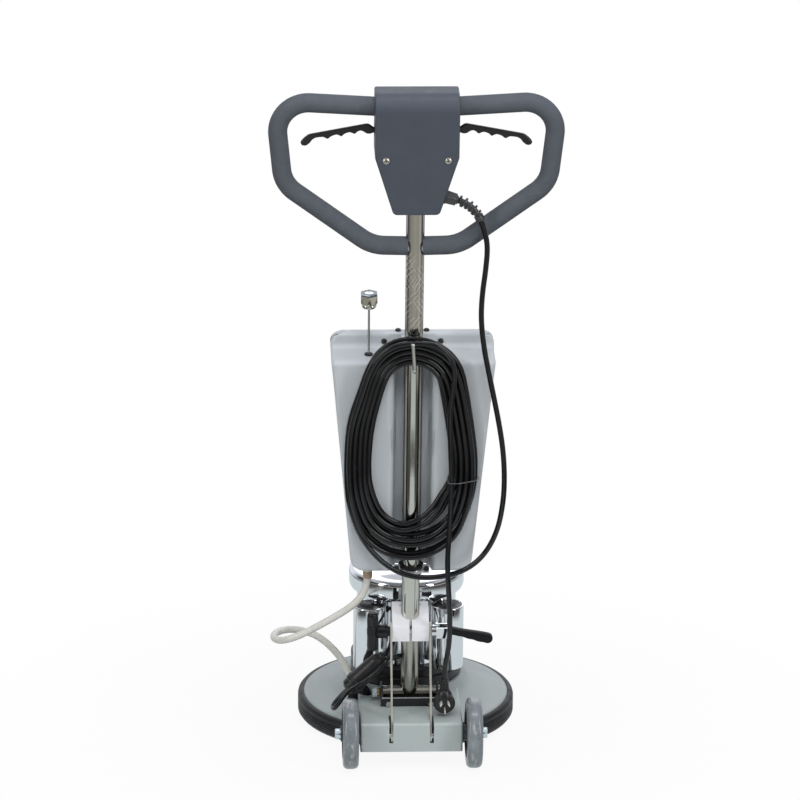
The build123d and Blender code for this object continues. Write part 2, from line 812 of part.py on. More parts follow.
# Base fasteners: the brace pin across the housing, bracket screws and cap screw
with BuildPart() as base_fasteners:
    pin_half = lug_x + lug_wall + 1.5
    with BuildSketch(Plane.YZ.offset(-pin_half)):
        with Locations((brace_pin_y, brace_pin_z)):
            Circle(brace_pin_radius)
    extrude(amount=2 * pin_half)
    with BuildSketch(Plane.XZ.offset(-bracket_rear)):
        with Locations((-ear_inner + 10.0, housing_top + 6.0), (ear_inner - 10.0, housing_top + 6.0)):
            RegularPolygon(5.5, 6)
    extrude(amount=4.0)
    with BuildSketch(Plane.XY.offset(cap_top)):
        RegularPolygon(7.0, 6)
    extrude(amount=5.0)

# Braces: two slotted bars from the housing to the clamp bolt, joined by a sleeve on their pin
bolt_point = handle_point(0, bolt_height, bolt_w)
brace_foot = Vector(0, brace_pin_y, brace_pin_z)
brace_line = bolt_point - brace_foot
brace_reach = brace_line.length
print("brace reach", round(brace_reach, 1))
with BuildPart() as braces:
    for side in (-1, 1):
        inner_x = side * brace_x - brace_thickness / 2
        pin_point = (inner_x, brace_pin_y, brace_pin_z)
        with BuildSketch(Plane(origin=pin_point, x_dir=brace_line, z_dir=(1, 0, 0))):
            brace_span = brace_reach + brace_tip - brace_width / 2
            with Locations((brace_span / 2, 0)):
                SlotCenterToCenter(brace_span, brace_width)
            Circle(brace_pin_radius + running_gap, mode=Mode.SUBTRACT)
            with Locations((brace_reach - brace_slot_reach / 2, 0)):
                SlotCenterToCenter(brace_slot_reach, 2 * (bolt_radius + brace_slot_gap), mode=Mode.SUBTRACT)
        extrude(amount=brace_thickness)
    with BuildSketch(Plane.YZ.offset(-brace_x)):
        with Locations((brace_pin_y, brace_pin_z)):
            Circle(brace_sleeve_radius)
            Circle(brace_pin_radius + running_gap, mode=Mode.SUBTRACT)
    extrude(amount=2 * brace_x)

# Handle post: the T-shaped weldment on the pivot bolt
with BuildPart() as handle_post:
    with BuildSketch(cross_plane(0)):
        Circle(tube_radius)
    extrude(amount=post_top)
    with BuildSketch(Plane.YZ.offset(-pivot_tube_half)):
        with Locations((pivot_y, pivot_z)):
            Circle(pivot_tube_radius)
    extrude(amount=2 * pivot_tube_half)
    with BuildSketch(cross_plane(pivot_tube_radius + 4.0)):
        Circle(tube_radius - tube_wall)
    extrude(amount=post_top, mode=Mode.SUBTRACT)
    with BuildSketch(Plane.YZ.offset(-pivot_tube_half)):
        with Locations((pivot_y, pivot_z)):
            Circle(pivot_bolt_radius + running_gap)
    extrude(amount=2 * pivot_tube_half, mode=Mode.SUBTRACT)
    with BuildSketch(side_plane(-tube_radius - 1.0)):
        with Locations((0, lead_hole_height)):
            Circle(lead_radius + 1.0)
    extrude(amount=tube_radius, mode=Mode.SUBTRACT)

# Handle clamp: a split block round the post and the handle tube, with its cross bolt
with BuildPart() as handle_clamp:
    with BuildSketch(side_plane(-clamp_half_width)):
        with BuildLine():
            Polyline(
                (clamp_front, clamp_bottom),
                (clamp_front, clamp_front_top),
                (clamp_rear, clamp_rear_top),
                (clamp_rear, clamp_bottom),
                close=True,
            )
        make_face()
    extrude(amount=2 * clamp_half_width)
    with BuildSketch(cross_plane(clamp_bottom)):
        Circle(tube_radius + clamp_fit)
        with Locations((0, clamp_rear / 2)):
            Rectangle(clamp_slit, -clamp_rear)
    extrude(amount=clamp_front_top, mode=Mode.SUBTRACT)
    with BuildSketch(cross_plane(clamp_front_top)):
        with Locations((-clamp_hole_x, clamp_hole_w), (clamp_hole_x, clamp_hole_w)):
            Circle(clamp_hole_radius)
    extrude(amount=-18.0, mode=Mode.SUBTRACT)
    with BuildSketch(side_plane(-clamp_half_width)):
        with Locations((bolt_w, bolt_height)):
            Circle(bolt_radius + clamp_fit)
    extrude(amount=2 * clamp_half_width, mode=Mode.SUBTRACT)

fork_start = brace_x + brace_thickness / 2 + 1.2
fork_cheek = 4.0
cheek_gap = 0.3
with BuildPart() as clamp_bolt:
    with BuildSketch(side_plane(-knob_hub_end + 4.0)):
        with Locations((bolt_w, bolt_height)):
            Circle(bolt_radius)
    extrude(amount=knob_hub_end - 4.0 + fork_start)
    with BuildSketch(side_plane(fork_start)):
        with Locations((bolt_w, bolt_height)):
            Circle(11.0)
    extrude(amount=10.0)
    for cheek in (-1, 1):
        with BuildSketch(side_plane(fork_start + 8.0)):
            offset_w = cheek * (cam_lever_thickness / 2 + cheek_gap + fork_cheek / 2)
            with Locations((bolt_w + offset_w, bolt_height)):
                Rectangle(fork_cheek, 2 * fork_half_height)
        extrude(amount=fork_end - fork_start - 8.0)
    with BuildSketch(rear_plane(bolt_w + cam_lever_thickness / 2 + cheek_gap + fork_cheek)):
        with Locations((fork_pin_x, bolt_height + fork_pin_rise)):
            Circle(lever_pin_radius)
    extrude(amount=cam_lever_thickness + 2 * (cheek_gap + fork_cheek))

with BuildPart() as cam_lever:
    with BuildSketch(rear_plane(bolt_w + cam_lever_thickness / 2)):
        with BuildLine():
            reach = Vector(cam_lever_end_x - fork_pin_x, -cam_lever_drop)
            along = reach.normalized()
            across = Vector(-along.Y, along.X)
            foot = Vector(fork_pin_x, bolt_height + fork_pin_rise)
            tip = foot + reach
            waist = foot + along * 22.0
            eye = 7.5
            Polyline(foot + across * eye, waist + across * 6.5, tip + across * cam_lever_radius)
            ThreePointArc(
                tip + across * cam_lever_radius,
                tip + along * cam_lever_radius,
                tip - across * cam_lever_radius,
            )
            Polyline(tip - across * cam_lever_radius, waist - across * 6.5, foot - across * eye)
            ThreePointArc(foot - across * eye, foot - along * eye, foot + across * eye)
        make_face()
        with Locations((fork_pin_x, bolt_height + fork_pin_rise)):
            Circle(lever_pin_radius + running_gap, mode=Mode.SUBTRACT)
    extrude(amount=cam_lever_thickness)

with BuildPart() as tee_knob:
    hub_start = brace_x + brace_thickness / 2 + 0.6
    with BuildSketch(side_plane(-hub_start)):
        with Locations((bolt_w, bolt_height)):
            Circle(knob_hub_radius)
    extrude(amount=hub_start - knob_hub_end - 6.0)
    with BuildSketch(cross_plane(bolt_height - knob_bar_length / 2)):
        with Locations((-knob_hub_end - knob_bar_radius, bolt_w)):
            Circle(knob_bar_radius)
    extrude(amount=knob_bar_length)
    fillet(tee_knob.edges().filter_by(GeomType.CIRCLE).filter_by(
        lambda e: abs(e.radius - knob_bar_radius) < 0.01), knob_bar_round)
    with BuildSketch(side_plane(-hub_start)):
        with Locations((bolt_w, bolt_height)):
            Circle(bolt_radius + running_gap)
    extrude(amount=hub_start - knob_hub_end + 2.0, mode=Mode.SUBTRACT)

# Handle tube, and the bent loop welded to it with its two foam grips
with BuildPart() as handle_tube:
    with BuildSketch(cross_plane(post_top + 0.2)):
        Circle(tube_radius)
        Circle(tube_radius - tube_wall, mode=Mode.SUBTRACT)
    extrude(amount=tube_top - post_top - 0.2)


def loop_route(side):
    """One side of the handle loop, from the tube round to the control box."""
    return [handle_point(side * x, d, 0) for x, d in loop_points]


with BuildPart() as loop_frame:
    left = loop_route(-1)
    right = loop_route(1)
    with BuildLine() as loop_line:
        bends = loop_bends + [bar_bend]
        FilletPolyline(*left, *reversed(right), radius=bends + bends[::-1])
    with BuildSketch(Plane(origin=left[0], z_dir=left[1] - left[0])):
        Circle(loop_radius)
        Circle(loop_radius - loop_wall, mode=Mode.SUBTRACT)
    sweep(path=loop_line.line)
    with BuildSketch(cross_plane(loop_points[0][1] - 3 * loop_radius)):
        Circle(tube_radius + seat_gap)
    extrude(amount=6 * loop_radius, mode=Mode.SUBTRACT)

grips = {}
for side, word in ((-1, "left"), (1, "right")):
    with BuildPart() as grip:
        route = loop_route(side)
        route[-1] = handle_point(side * (box_half_width + box_gap + 1.0), bar_height, 0)
        with BuildLine() as grip_line:
            FilletPolyline(*route, radius=loop_bends)
        with BuildSketch(Plane(origin=route[0], z_dir=route[1] - route[0])):
            Circle(grip_radius)
            Circle(loop_radius + 0.1, mode=Mode.SUBTRACT)
        sweep(path=grip_line.line)
        with BuildSketch(cross_plane(loop_points[0][1] - 3 * loop_radius)):
            Circle(tube_radius + seat_gap)
        extrude(amount=6 * loop_radius, mode=Mode.SUBTRACT)
        with BuildSketch(rear_plane(2 * grip_radius)):
            with Locations((-side * grip_radius * 2, loop_points[0][1])):
                Rectangle(4 * grip_radius, 4 * grip_radius)
        extrude(amount=4 * grip_radius, mode=Mode.SUBTRACT)
    grips[f"grip_{word}"] = grip


def box_outline(inset):
    """The control box's outline seen from behind, drawn inside by an inset."""
    half, foot_half = box_half_width - inset, box_bottom_half - inset
    with BuildSketch() as outline:
        with BuildLine():
            Polyline(
                (-half, box_top - inset),
                (half, box_top - inset),
                (half, box_taper_height),
                (foot_half, box_bottom + inset),
                (-foot_half, box_bottom + inset),
                (-half, box_taper_height),
                close=True,
            )
        make_face()
        fillet(outline.vertices().sort_by(Axis.Y)[:4], box_corner - inset)
    return outline.sketch


def box_form(inset, back, front, word):
    """One shell of the control box drawn inside by an inset, with its top edge rounded over."""
    crown = (box_crown if word == "rear" else box_front_crown) - inset
    top = box_top - inset
    far, near = (back, front) if word == "rear" else (front, back)
    inward = 1 if word == "rear" else -1
    with BuildPart() as form:
        with BuildSketch(rear_plane(front)):
            add(box_outline(inset))
        extrude(amount=front - back)
        with BuildSketch(side_plane(-box_half_width - 1.0)):
            with BuildLine():
                bulge = crown * (1 - math.sqrt(0.5))
                Polyline((far, top - crown), (far, box_bottom - 1.0), (near, box_bottom - 1.0), (near, top))
                Line((near, top), (far + inward * crown, top))
                ThreePointArc(
                    (far + inward * crown, top), (far + inward * bulge, top - bulge), (far, top - crown)
                )
            make_face()
        extrude(amount=2 * box_half_width + 2.0, mode=Mode.INTERSECT)
    return form.part


def box_rims(form, far):
    """The outer edges of a shell: round its far face and over the crown's two ends."""
    rims = []
    for edge in form.edges():
        middle = edge @ 0.5
        height = (middle - pivot).dot(tube_up)
        depth = (middle - pivot).dot(tube_forward)
        along = abs((edge % 0.5).dot(tube_forward)) > 0.99
        across = abs((edge % 0.5).X) > 0.99
        on_far = abs(depth - far) < 0.01 and not (across and height > box_taper_height)
        on_side = abs(abs(middle.X) - box_half_width) < 0.01 and 0.01 < abs(depth) < abs(far) - 0.01
        if on_far or (on_side and (not along or abs(height - box_top) < 0.01)):
            rims.append(edge)
    return rims


# Control box: two moulded shells that meet on the loop's centre plane
box_covers = {}
for word, back, front in (("rear", box_rear, 0.0), ("front", 0.0, box_front)):
    with BuildPart() as cover:
        add(box_form(0, back, front, word))
        fillet(box_rims(cover, back if word == "rear" else front), box_edge)
        hollow_front = front if word == "rear" else front - box_wall
        hollow_back = back + box_wall if word == "rear" else back
        add(box_form(box_wall, hollow_back, hollow_front, word), mode=Mode.SUBTRACT)
        with BuildSketch(side_plane(-box_half_width)):
            with Locations((0, bar_height)):
                Circle(loop_radius + 2 * seat_gap)
        extrude(amount=2 * box_half_width, mode=Mode.SUBTRACT)
        with BuildSketch(side_plane(-box_half_width)):
            slot_height = 2 * lever_boss + 16.0
            with Locations((0, lever_pivot_height)):
                Rectangle(lever_thickness + 2 * lever_clear, slot_height)
        extrude(amount=2 * box_half_width, mode=Mode.SUBTRACT)
        with BuildSketch(cross_plane(box_bottom - 1.0)):
            Circle(tube_radius + seat_gap)
        extrude(amount=2 * box_wall, mode=Mode.SUBTRACT)
    box_covers[f"box_{word}_cover"] = cover

with BuildPart() as control_switch:
    with BuildSketch(rear_plane(-tube_radius - 2.0)):
        with Locations((0, lever_pivot_height - 14.0)):
            Rectangle(46.0, 40.0)
    extrude(amount=-box_rear - box_wall - tube_radius - 2.0 - seat_gap)
    fillet(control_switch.edges().filter_by(Axis((0, 0, 0), tuple(tube_forward))), 3.0)

# Levers: finger-scalloped bars that swing up to the handle bar


def from_pivot(*steps):
    """Points of a lever, given from its pivot."""
    return [(lever_pivot_x + x, lever_pivot_height + d) for x, d in steps]


lever_top = from_pivot((12.0, 4.5), (25.0, 9.5), (129.0, -6.5))
lever_root = from_pivot((34.0, -8.8), (33.5, -11.3), (20.0, -11.3))
lever_tip = from_pivot((143.0, -20.0), (135.0, -27.5))
lever_cusps = from_pivot((100.0, -14.0), (75.7, -10.0), (51.5, -7.0), (35.0, -6.2))
scallop = 3.2
levers = {}
for side, word in ((-1, "left"), (1, "right")):
    with BuildPart() as lever:
        with BuildSketch(rear_plane(lever_thickness / 2)):
            with BuildLine():
                neck = [(lever_pivot_x, lever_pivot_height + lever_boss * 0.6)] + lever_top
                Polyline(*[(side * x, d) for x, d in neck])
                (x0, d0), (x1, d1), (x2, d2) = lever_top[-1], lever_tip[0], lever_tip[1]
                ThreePointArc((side * x0, d0), (side * (x0 + 10.5), d0 - 5.0), (side * x1, d1))
                ThreePointArc((side * x1, d1), (side * (x1 - 2.0), d1 - 6.0), (side * x2, d2))
                for (xa, da), (xb, db) in zip([lever_tip[1]] + lever_cusps, lever_cusps):
                    crest = (side * (xa + xb) / 2, (da + db) / 2 + scallop)
                    ThreePointArc((side * xa, da), crest, (side * xb, db))
                xc, dc = lever_cusps[-1]
                Polyline(
                    (side * xc, dc),
                    *[(side * x, d) for x, d in lever_root],
                    (side * lever_pivot_x, lever_pivot_height - lever_boss * 0.6),
                    (side * lever_pivot_x, lever_pivot_height + lever_boss * 0.6),
                )
            make_face()
            with Locations((side * lever_pivot_x, lever_pivot_height)):
                Circle(lever_boss)
                Circle(lever_pin_radius + running_gap, mode=Mode.SUBTRACT)
        extrude(amount=lever_thickness)
    levers[f"{word}_lever"] = lever


# Water tank: a hollow moulding, tapered downwards, with a ledge behind its top, a groove for
# the handle tube, and a slope in front for the filler neck
slope_drop = tank_front - tank_slope_start
tank_taper = (tank_top_half - tank_bottom_half) / (tank_top - tank_bottom)


def tank_slab(top, back, front, inset, rim):
    """A tapered slab of the tank between two depths; the rim is the depth of the rounded face."""
    low = tank_bottom + inset
    low_half = tank_bottom_half + tank_taper * (low - tank_bottom) - inset
    top_half = tank_bottom_half + tank_taper * (top - tank_bottom) - inset
    with BuildPart() as slab:
        with BuildSketch(rear_plane(front)) as outline:
            with BuildLine():
                Polyline((-low_half, low), (low_half, low), (top_half, top), (-top_half, top), close=True)
            make_face()
            fillet(outline.vertices(), tank_corner - inset)
        extrude(amount=front - back)
        by_depth = slab.faces().sort_by(Axis((0, 0, 0), tuple(tube_forward)))
        fillet((by_depth[0] if rim == back else by_depth[-1]).edges(), tank_rim - inset)
    return slab.part


def tank_form(inset):
    """The tank drawn inside by an inset: rear slab, front slab, filler slope and tube groove."""
    back, front = tank_rear + inset, tank_front - inset
    with BuildPart() as form:
        add(tank_slab(tank_ledge - inset, back, tank_step + 20.0, inset, back))
        add(tank_slab(tank_top - inset, tank_step + inset, front, inset, front))
        with BuildSketch(side_plane(-tank_top_half)):
            with BuildLine():
                shift = inset * math.tan(math.radians(22.5))
                beyond = 30.0
                Polyline(
                    (tank_slope_start - shift - beyond, tank_top - inset + beyond),
                    (front + beyond, tank_top - slope_drop - shift - beyond),
                    (front + beyond, tank_top - inset + beyond),
                    close=True,
                )
            make_face()
        extrude(amount=2 * tank_top_half, mode=Mode.SUBTRACT)
        with BuildSketch(cross_plane(tank_bottom - 1.0)):
            with Locations((0, (tank_rear - 1.0 + groove_depth + inset) / 2)):
                Rectangle(2 * (groove_half + inset), groove_depth + inset - tank_rear + 1.0)
        extrude(amount=tank_top - tank_bottom + 2.0, mode=Mode.SUBTRACT)
    return form.part


filler_w = (tank_slope_start + tank_front) / 2 + filler_slide * math.sqrt(0.5)
filler_d = tank_top - slope_drop / 2 - filler_slide * math.sqrt(0.5)
filler_axis = (tube_up + tube_forward).normalized()
filler_plane = Plane(origin=handle_point(0, filler_d, filler_w), x_dir=(1, 0, 0), z_dir=filler_axis)
with BuildPart() as tank:
    add(tank_form(0))
    with BuildSketch(filler_plane):
        Circle(neck_radius)
    extrude(amount=neck_height)
    add(tank_form(tank_wall), mode=Mode.SUBTRACT)
    with BuildSketch(filler_plane.offset(neck_height)):
        Circle(neck_bore)
    extrude(amount=-neck_height - 2 * tank_wall, mode=Mode.SUBTRACT)
    with BuildSketch(cross_plane(tank_bottom - 1.0)):
        with Locations((valve_x, valve_w)):
            Circle(valve_rod_radius + 2.5)
    extrude(amount=2 * tank_wall, mode=Mode.SUBTRACT)
    with BuildSketch(cross_plane(tank_ledge + 1.0)):
        with Locations((valve_x, valve_w)):
            Circle(valve_rod_radius + 3.0)
    extrude(amount=-2 * tank_wall, mode=Mode.SUBTRACT)

with BuildPart() as filler_cap:
    with BuildSketch(filler_plane.offset(neck_height - filler_skirt)):
        Circle(neck_radius + seat_gap + filler_cap_wall)
    extrude(amount=filler_cap_height)
    with BuildSketch(filler_plane.offset(neck_height - filler_skirt)):
        with PolarLocations(neck_radius + seat_gap + filler_cap_wall + 1.6, 24):
            Circle(2.4, mode=Mode.ADD)
    extrude(amount=filler_cap_height, mode=Mode.SUBTRACT)
    with BuildSketch(filler_plane.offset(neck_height - filler_skirt)):
        Circle(neck_radius + seat_gap)
    extrude(amount=filler_skirt + 0.1, mode=Mode.SUBTRACT)

# Tank mountings: the hanger saddle above, and the ring with its rubber bush below
hanger_plate = 3.0
with BuildPart() as tank_hanger:
    with BuildSketch(rear_plane(tank_step - seat_gap)):
        with Locations((0, (tank_ledge + tank_top) / 2 + 0.5)):
            Rectangle(76.0, tank_top - tank_ledge - 3.0)
    extrude(amount=hanger_plate)
    with BuildSketch(cross_plane(tank_ledge + 4.0)):
        with Locations((0, (tank_step + 4.0) / 2)):
            Rectangle(2 * tube_radius + 8.0, tank_step - 4.0 - 2 * seat_gap)
    extrude(amount=tank_top - tank_ledge - 6.0)
    with BuildSketch(cross_plane(tank_ledge)):
        Circle(tube_radius + clamp_fit)
    extrude(amount=tank_top - tank_ledge, mode=Mode.SUBTRACT)

with BuildPart() as tank_bush:
    with BuildSketch(cross_plane(ring_bottom - 1.5)):
        Circle(bush_radius)
        Circle(tube_radius + clamp_fit, mode=Mode.SUBTRACT)
    extrude(amount=ring_height + 4.0)
    fillet(tank_bush.edges().filter_by(GeomType.CIRCLE).filter_by(
        lambda e: abs(e.radius - bush_radius) < 0.01), 2.0)

with BuildPart() as tank_ring:
    strap = 3.0
    with BuildSketch(cross_plane(ring_bottom)):
        Circle(ring_radius)
        with Locations((0, tank_rear - seat_gap - strap / 2)):
            Rectangle(82.0, strap)
        Circle(bush_radius + 0.1, mode=Mode.SUBTRACT)
    extrude(amount=ring_height)

# Water valve: outlet under the tank and the pull rod with its hexagonal knob
with BuildPart() as outlet_fitting:
    with BuildSketch(cross_plane(tank_bottom - seat_gap)):
        with Locations((valve_x, valve_w)):
            RegularPolygon(11.0, 6)
    extrude(amount=-7.0)
    with BuildSketch(cross_plane(tank_bottom - 7.0)):
        with Locations((valve_x, valve_w)):
            Circle(hose_radius - hose_wall - 0.1)
    extrude(amount=-14.0)
    with BuildSketch(cross_plane(tank_bottom - seat_gap)):
        with Locations((valve_x, valve_w)):
            Circle(3.0)
    extrude(amount=-24.0, mode=Mode.SUBTRACT)

with BuildPart() as valve_rod:
    with BuildSketch(cross_plane(tank_bottom + tank_wall + 0.1)):
        with Locations((valve_x, valve_w)):
            Circle(valve_plug_radius)
    extrude(amount=10.0)
    with BuildSketch(cross_plane(tank_bottom + tank_wall + 0.1)):
        with Locations((valve_x, valve_w)):
            Circle(valve_rod_radius)
    extrude(amount=valve_knob_bottom - tank_bottom - tank_wall)
    with BuildSketch(cross_plane(valve_knob_bottom)):
        with Locations((valve_x, valve_w)):
            RegularPolygon(valve_knob_radius, 6, rotation=30)
    extrude(amount=valve_knob_top - valve_knob_bottom)


# Handle fasteners: box screws, lever pins, tank bolts and the rod's grommet
with BuildPart() as handle_fasteners:
    for side in (-1, 1):
        with BuildSketch(rear_plane(box_rear - 0.05)):
            with Locations((side * box_screw_x, box_screw_height)):
                Circle(6.3)
        extrude(amount=1.2)
        with BuildSketch(rear_plane(box_rear - 0.05)):
            with Locations((side * box_screw_x, box_screw_height)):
                Circle(4.5)
        extrude(amount=4.5)
        with BuildSketch(rear_plane(box_front - box_wall - 0.1)):
            with Locations((side * lever_pivot_x, lever_pivot_height)):
                Circle(lever_pin_radius)
        extrude(amount=box_front - box_rear - 2 * box_wall - 0.2)
        with BuildSketch(rear_plane(tank_step - seat_gap - hanger_plate)):
            with Locations((side * 31.0, tank_ledge + 11.0)):
                Circle(5.2)
        extrude(amount=4.5)
        with BuildSketch(rear_plane(tank_step - 0.1)):
            with Locations((side * 50.0, tank_ledge + 11.0)):
                Circle(5.2)
        extrude(amount=4.5)
        with BuildSketch(cross_plane(tank_top + 0.1)):
            with Locations((side * 25.0, tank_step + 10.0)):
                Circle(5.2)
        extrude(amount=4.0)
        with BuildSketch(rear_plane(tank_rear - seat_gap - strap)):
            with Locations((side * 34.5, ring_bottom + ring_height / 2)):
                Circle(4.0)
        extrude(amount=2.5)
    with BuildSketch(cross_plane(tank_ledge + 0.1)):
        with Locations((valve_x, valve_w)):
            Circle(7.0)
            Circle(valve_rod_radius + 0.3, mode=Mode.SUBTRACT)
    extrude(amount=3.0)

# Cord hook: a bent peg welded to the tube
hook_foot = handle_point(0, hook_height, -tube_radius - 0.05)
with BuildPart() as cord_hook:
    with BuildLine() as hook_line:
        FilletPolyline(
            hook_foot,
            handle_point(0, hook_height, hook_w),
            handle_point(-hook_lean, hook_top, hook_w),
            radius=9.0,
        )
    with BuildSketch(Plane(origin=hook_foot, z_dir=tube_forward * -1)):
        Circle(hook_radius)
    sweep(path=hook_line.line)
    fillet(cord_hook.edges().sort_by(Axis.Z)[-1], 2.0)

# Cable gland on the box's slanted side, and its bend relief with six rings
slant = Vector(box_half_width - box_bottom_half, box_taper_height - box_bottom).normalized()
gland_out = Vector(slant.Y, -slant.X)
gland_foot = Vector(box_bottom_half, box_bottom) + slant * 31.5 + gland_out * 0.1
gland_length = 24.0
relief_start = gland_foot + gland_out * gland_length
relief_end = gland_foot + Vector(61.5, -43.65)
relief_rings = 6


def gland_point(flat):
    """A point of the gland's drawing plane in the object's frame."""
    return handle_point(flat.X, flat.Y, gland_w)


out_direction = gland_point(gland_foot + gland_out) - gland_point(gland_foot)
with BuildPart() as cable_gland:
    with BuildSketch(Plane(origin=gland_point(gland_foot), x_dir=tube_forward, z_dir=out_direction)):
        RegularPolygon(13.0, 6)
    extrude(amount=gland_length - 6.0)
    with BuildSketch(Plane(origin=gland_point(gland_foot), x_dir=tube_forward, z_dir=out_direction)):
        Circle(9.0)
    extrude(amount=gland_length)
    with BuildLine() as relief_line:
        relief_arc = TangentArc(
            gland_point(relief_start), gland_point(relief_end), tangent=tuple(out_direction)
        )
    with BuildSketch(Plane(origin=relief_arc @ 0, z_dir=relief_arc % 0)):
        Circle(cord_radius + 1.2)
    sweep(path=relief_line.line)
    for ring in range(relief_rings):
        share = (ring + 0.5) / relief_rings
        ring_size = cord_radius + 4.0 - 1.6 * share
        with BuildSketch(Plane(origin=relief_arc @ share, z_dir=relief_arc % share)):
            Circle(ring_size)
        extrude(amount=2.6, both=True)
    with BuildSketch(Plane(origin=relief_arc @ 1, z_dir=relief_arc % 1)):
        Circle(cord_radius + 2.2)
    extrude(amount=-4.0)
relief_out = relief_arc % 1

# Mains cord, from the relief down the right side and under the coil to its left
lead_start = relief_arc @ 1
lead_points = [
    lead_start,
    lead_start + relief_out * 24.0,
    handle_point(124.0, 879, -27.5),
    handle_point(121.5, 839, -28.5),
    handle_point(115.8, 791, -30),
    handle_point(114.5, 745, -32),
    handle_point(121.0, 690, -35),
    handle_point(134.5, 625, -38),
    handle_point(148.5, 558, -41),
    handle_point(158.0, 500, -42.5),
    handle_point(161.5, 445, -43),
    handle_point(160.0, 398, -42.5),
    handle_point(151.0, 341, -41),
    handle_point(128.0, 292, -38.5),
    handle_point(94.0, 261.5, -36.5),
    handle_point(51.0, 249, -35),
    handle_point(13.0, 247, -33.5),
    handle_point(-23.0, 256.5, -32),
    handle_point(-58.0, 281, -30.5),
    handle_point(-91.0, 324.5, -28.5),
    handle_point(-111.5, 382, -24.5),
    handle_point(coil_x - coil_half_width, 428, coil_layer_w),
    handle_point(coil_x - coil_half_width, coil_waist, coil_layer_w),
]
cord_lead = cord_tube("cord_lead", lead_points, cord_radius)


# Coil: loops that spiral in on the tube side and out again on the operator's side, fanned at
# the bottom and bunched on the hook, with the last quarter turn laid over the top
def coil_depth(quarter):
    """How many pitches the coil has moved in from its outermost loop."""
    turns_in = 4 * coil_turns_in
    if quarter <= turns_in:
        return quarter / 4
    if quarter <= turns_in + 2:
        return coil_turns_in
    return coil_turns_in - (quarter - turns_in - 2) / 4


def coil_knot(quarter):
    """The point and direction of the coil at a quarter turn."""
    depth = coil_depth(quarter)
    climb = min(max((quarter - 4 * coil_turns_in) / 2, 0.0), 1.0)
    if quarter == coil_quarters:
        climb = 2.0
    w = coil_layer_w - coil_layer_pitch * climb
    side = coil_half_width - coil_side_pitch * depth
    place = quarter % 4
    if place == 0:
        return handle_point(coil_x - side, coil_waist, w), tube_up
    if place == 1:
        return handle_point(coil_x, coil_top - coil_side_pitch * depth, w), Vector(1, 0, 0)
    if place == 2:
        return handle_point(coil_x + side, coil_waist, w), tube_up * -1
    return handle_point(coil_x, coil_bottom + coil_bottom_pitch * depth, w), Vector(-1, 0, 0)


def crown_run(quarter):
    """The tangent length at a loop's top or bottom, which keeps neighbouring loops parallel."""
    inset = coil_side_pitch * coil_depth(quarter)
    if quarter % 4 == 1:
        return coil_top_run * (coil_top_crown - inset)
    return coil_bottom_run * (coil_bottom_crown - inset)


def quarter_turn(quarter):
    """Two tangent arcs from one quarter of the coil to the next."""
    start, leave = coil_knot(quarter)
    end, arrive = coil_knot(quarter + 1)
    span = end - start
    spread = 1 - leave.dot(arrive)
    if quarter % 2 == 0:
        last = crown_run(quarter + 1)
        first = (span.dot(span) - 2 * last * span.dot(arrive)) / (2 * (span.dot(leave) + last * spread))
    else:
        first = crown_run(quarter)
        last = (span.dot(span) - 2 * first * span.dot(leave)) / (2 * (span.dot(arrive) + first * spread))
    near, far = start + leave * first, end - arrive * last
    joint = near + (far - near) * (first / (first + last))
    opening = TangentArc(start, joint, tangent=tuple(leave))
    closing = TangentArc(joint, end, tangent=tuple(opening % 1))
    return opening, closing


with BuildPart() as cord_coil:
    with BuildLine() as coil_line:
        coil_edges = []
        for quarter in range(coil_quarters):
            coil_edges += quarter_turn(quarter)
    coil_start, coil_leave = coil_knot(0)
    with BuildSketch(Plane(origin=coil_start, z_dir=coil_leave)):
        Circle(cord_radius)
    sweep(path=coil_line.line)

coil_length = sum(edge.length for edge in coil_edges)
coil_samples = []
travelled = 0.0
for edge in coil_edges:
    steps = max(2, round(edge.length / 6.0))
    for step in range(steps):
        coil_samples.append((travelled + edge.length * step / steps, edge @ (step / steps)))
    travelled += edge.length
coil_gap = min(
    (first - second).length
    for index, (here, first) in enumerate(coil_samples)
    for there, second in coil_samples[index + 1 :]
    if there - here > 12 * cord_radius
) - 2 * cord_radius
print("coil length", round(coil_length), "least gap to itself", round(coil_gap, 2))
print("coil volume ratio", round(cord_coil.part.volume / (math.pi * cord_radius**2 * coil_length), 4))

# Cord's tail, from the coil over the hook and straight down to the plug
coil_end, coil_arrive = coil_knot(coil_quarters)
tail_w = coil_layer_w - 2 * coil_layer_pitch
tail_points = [
    coil_end,
    coil_end + coil_arrive * 24.0,
    handle_point(42.7, 699.0, tail_w),
    handle_point(60.0, 682.0, tail_w),
    handle_point(69.0, 660.0, tail_w),
    handle_point(69.5, 627.0, tail_w),
    handle_point(63.0, 580.0, tail_w),
    handle_point(64.5, 515.0, tail_w - 0.5),
    handle_point(68.5, 445.0, tail_w),
    handle_point(67.5, 385.0, tail_w + 0.5),
    handle_point(65.0, 330.0, tail_w),
    handle_point(62.5, 285.0, tail_w - 4.0),
    Vector(64.5, -232.5, 345.0),
    Vector(67.5, -230.5, 300.0),
    Vector(69.0, -229.4, 255.0),
    Vector(66.5, -229.0, 215.0),
    Vector(plug_centre[0], plug_centre[1], 184.0),
    Vector(plug_centre[0], plug_centre[1], plug_relief_top),
]
cord_tail = cord_tube("cord_tail", tail_points, cord_radius)

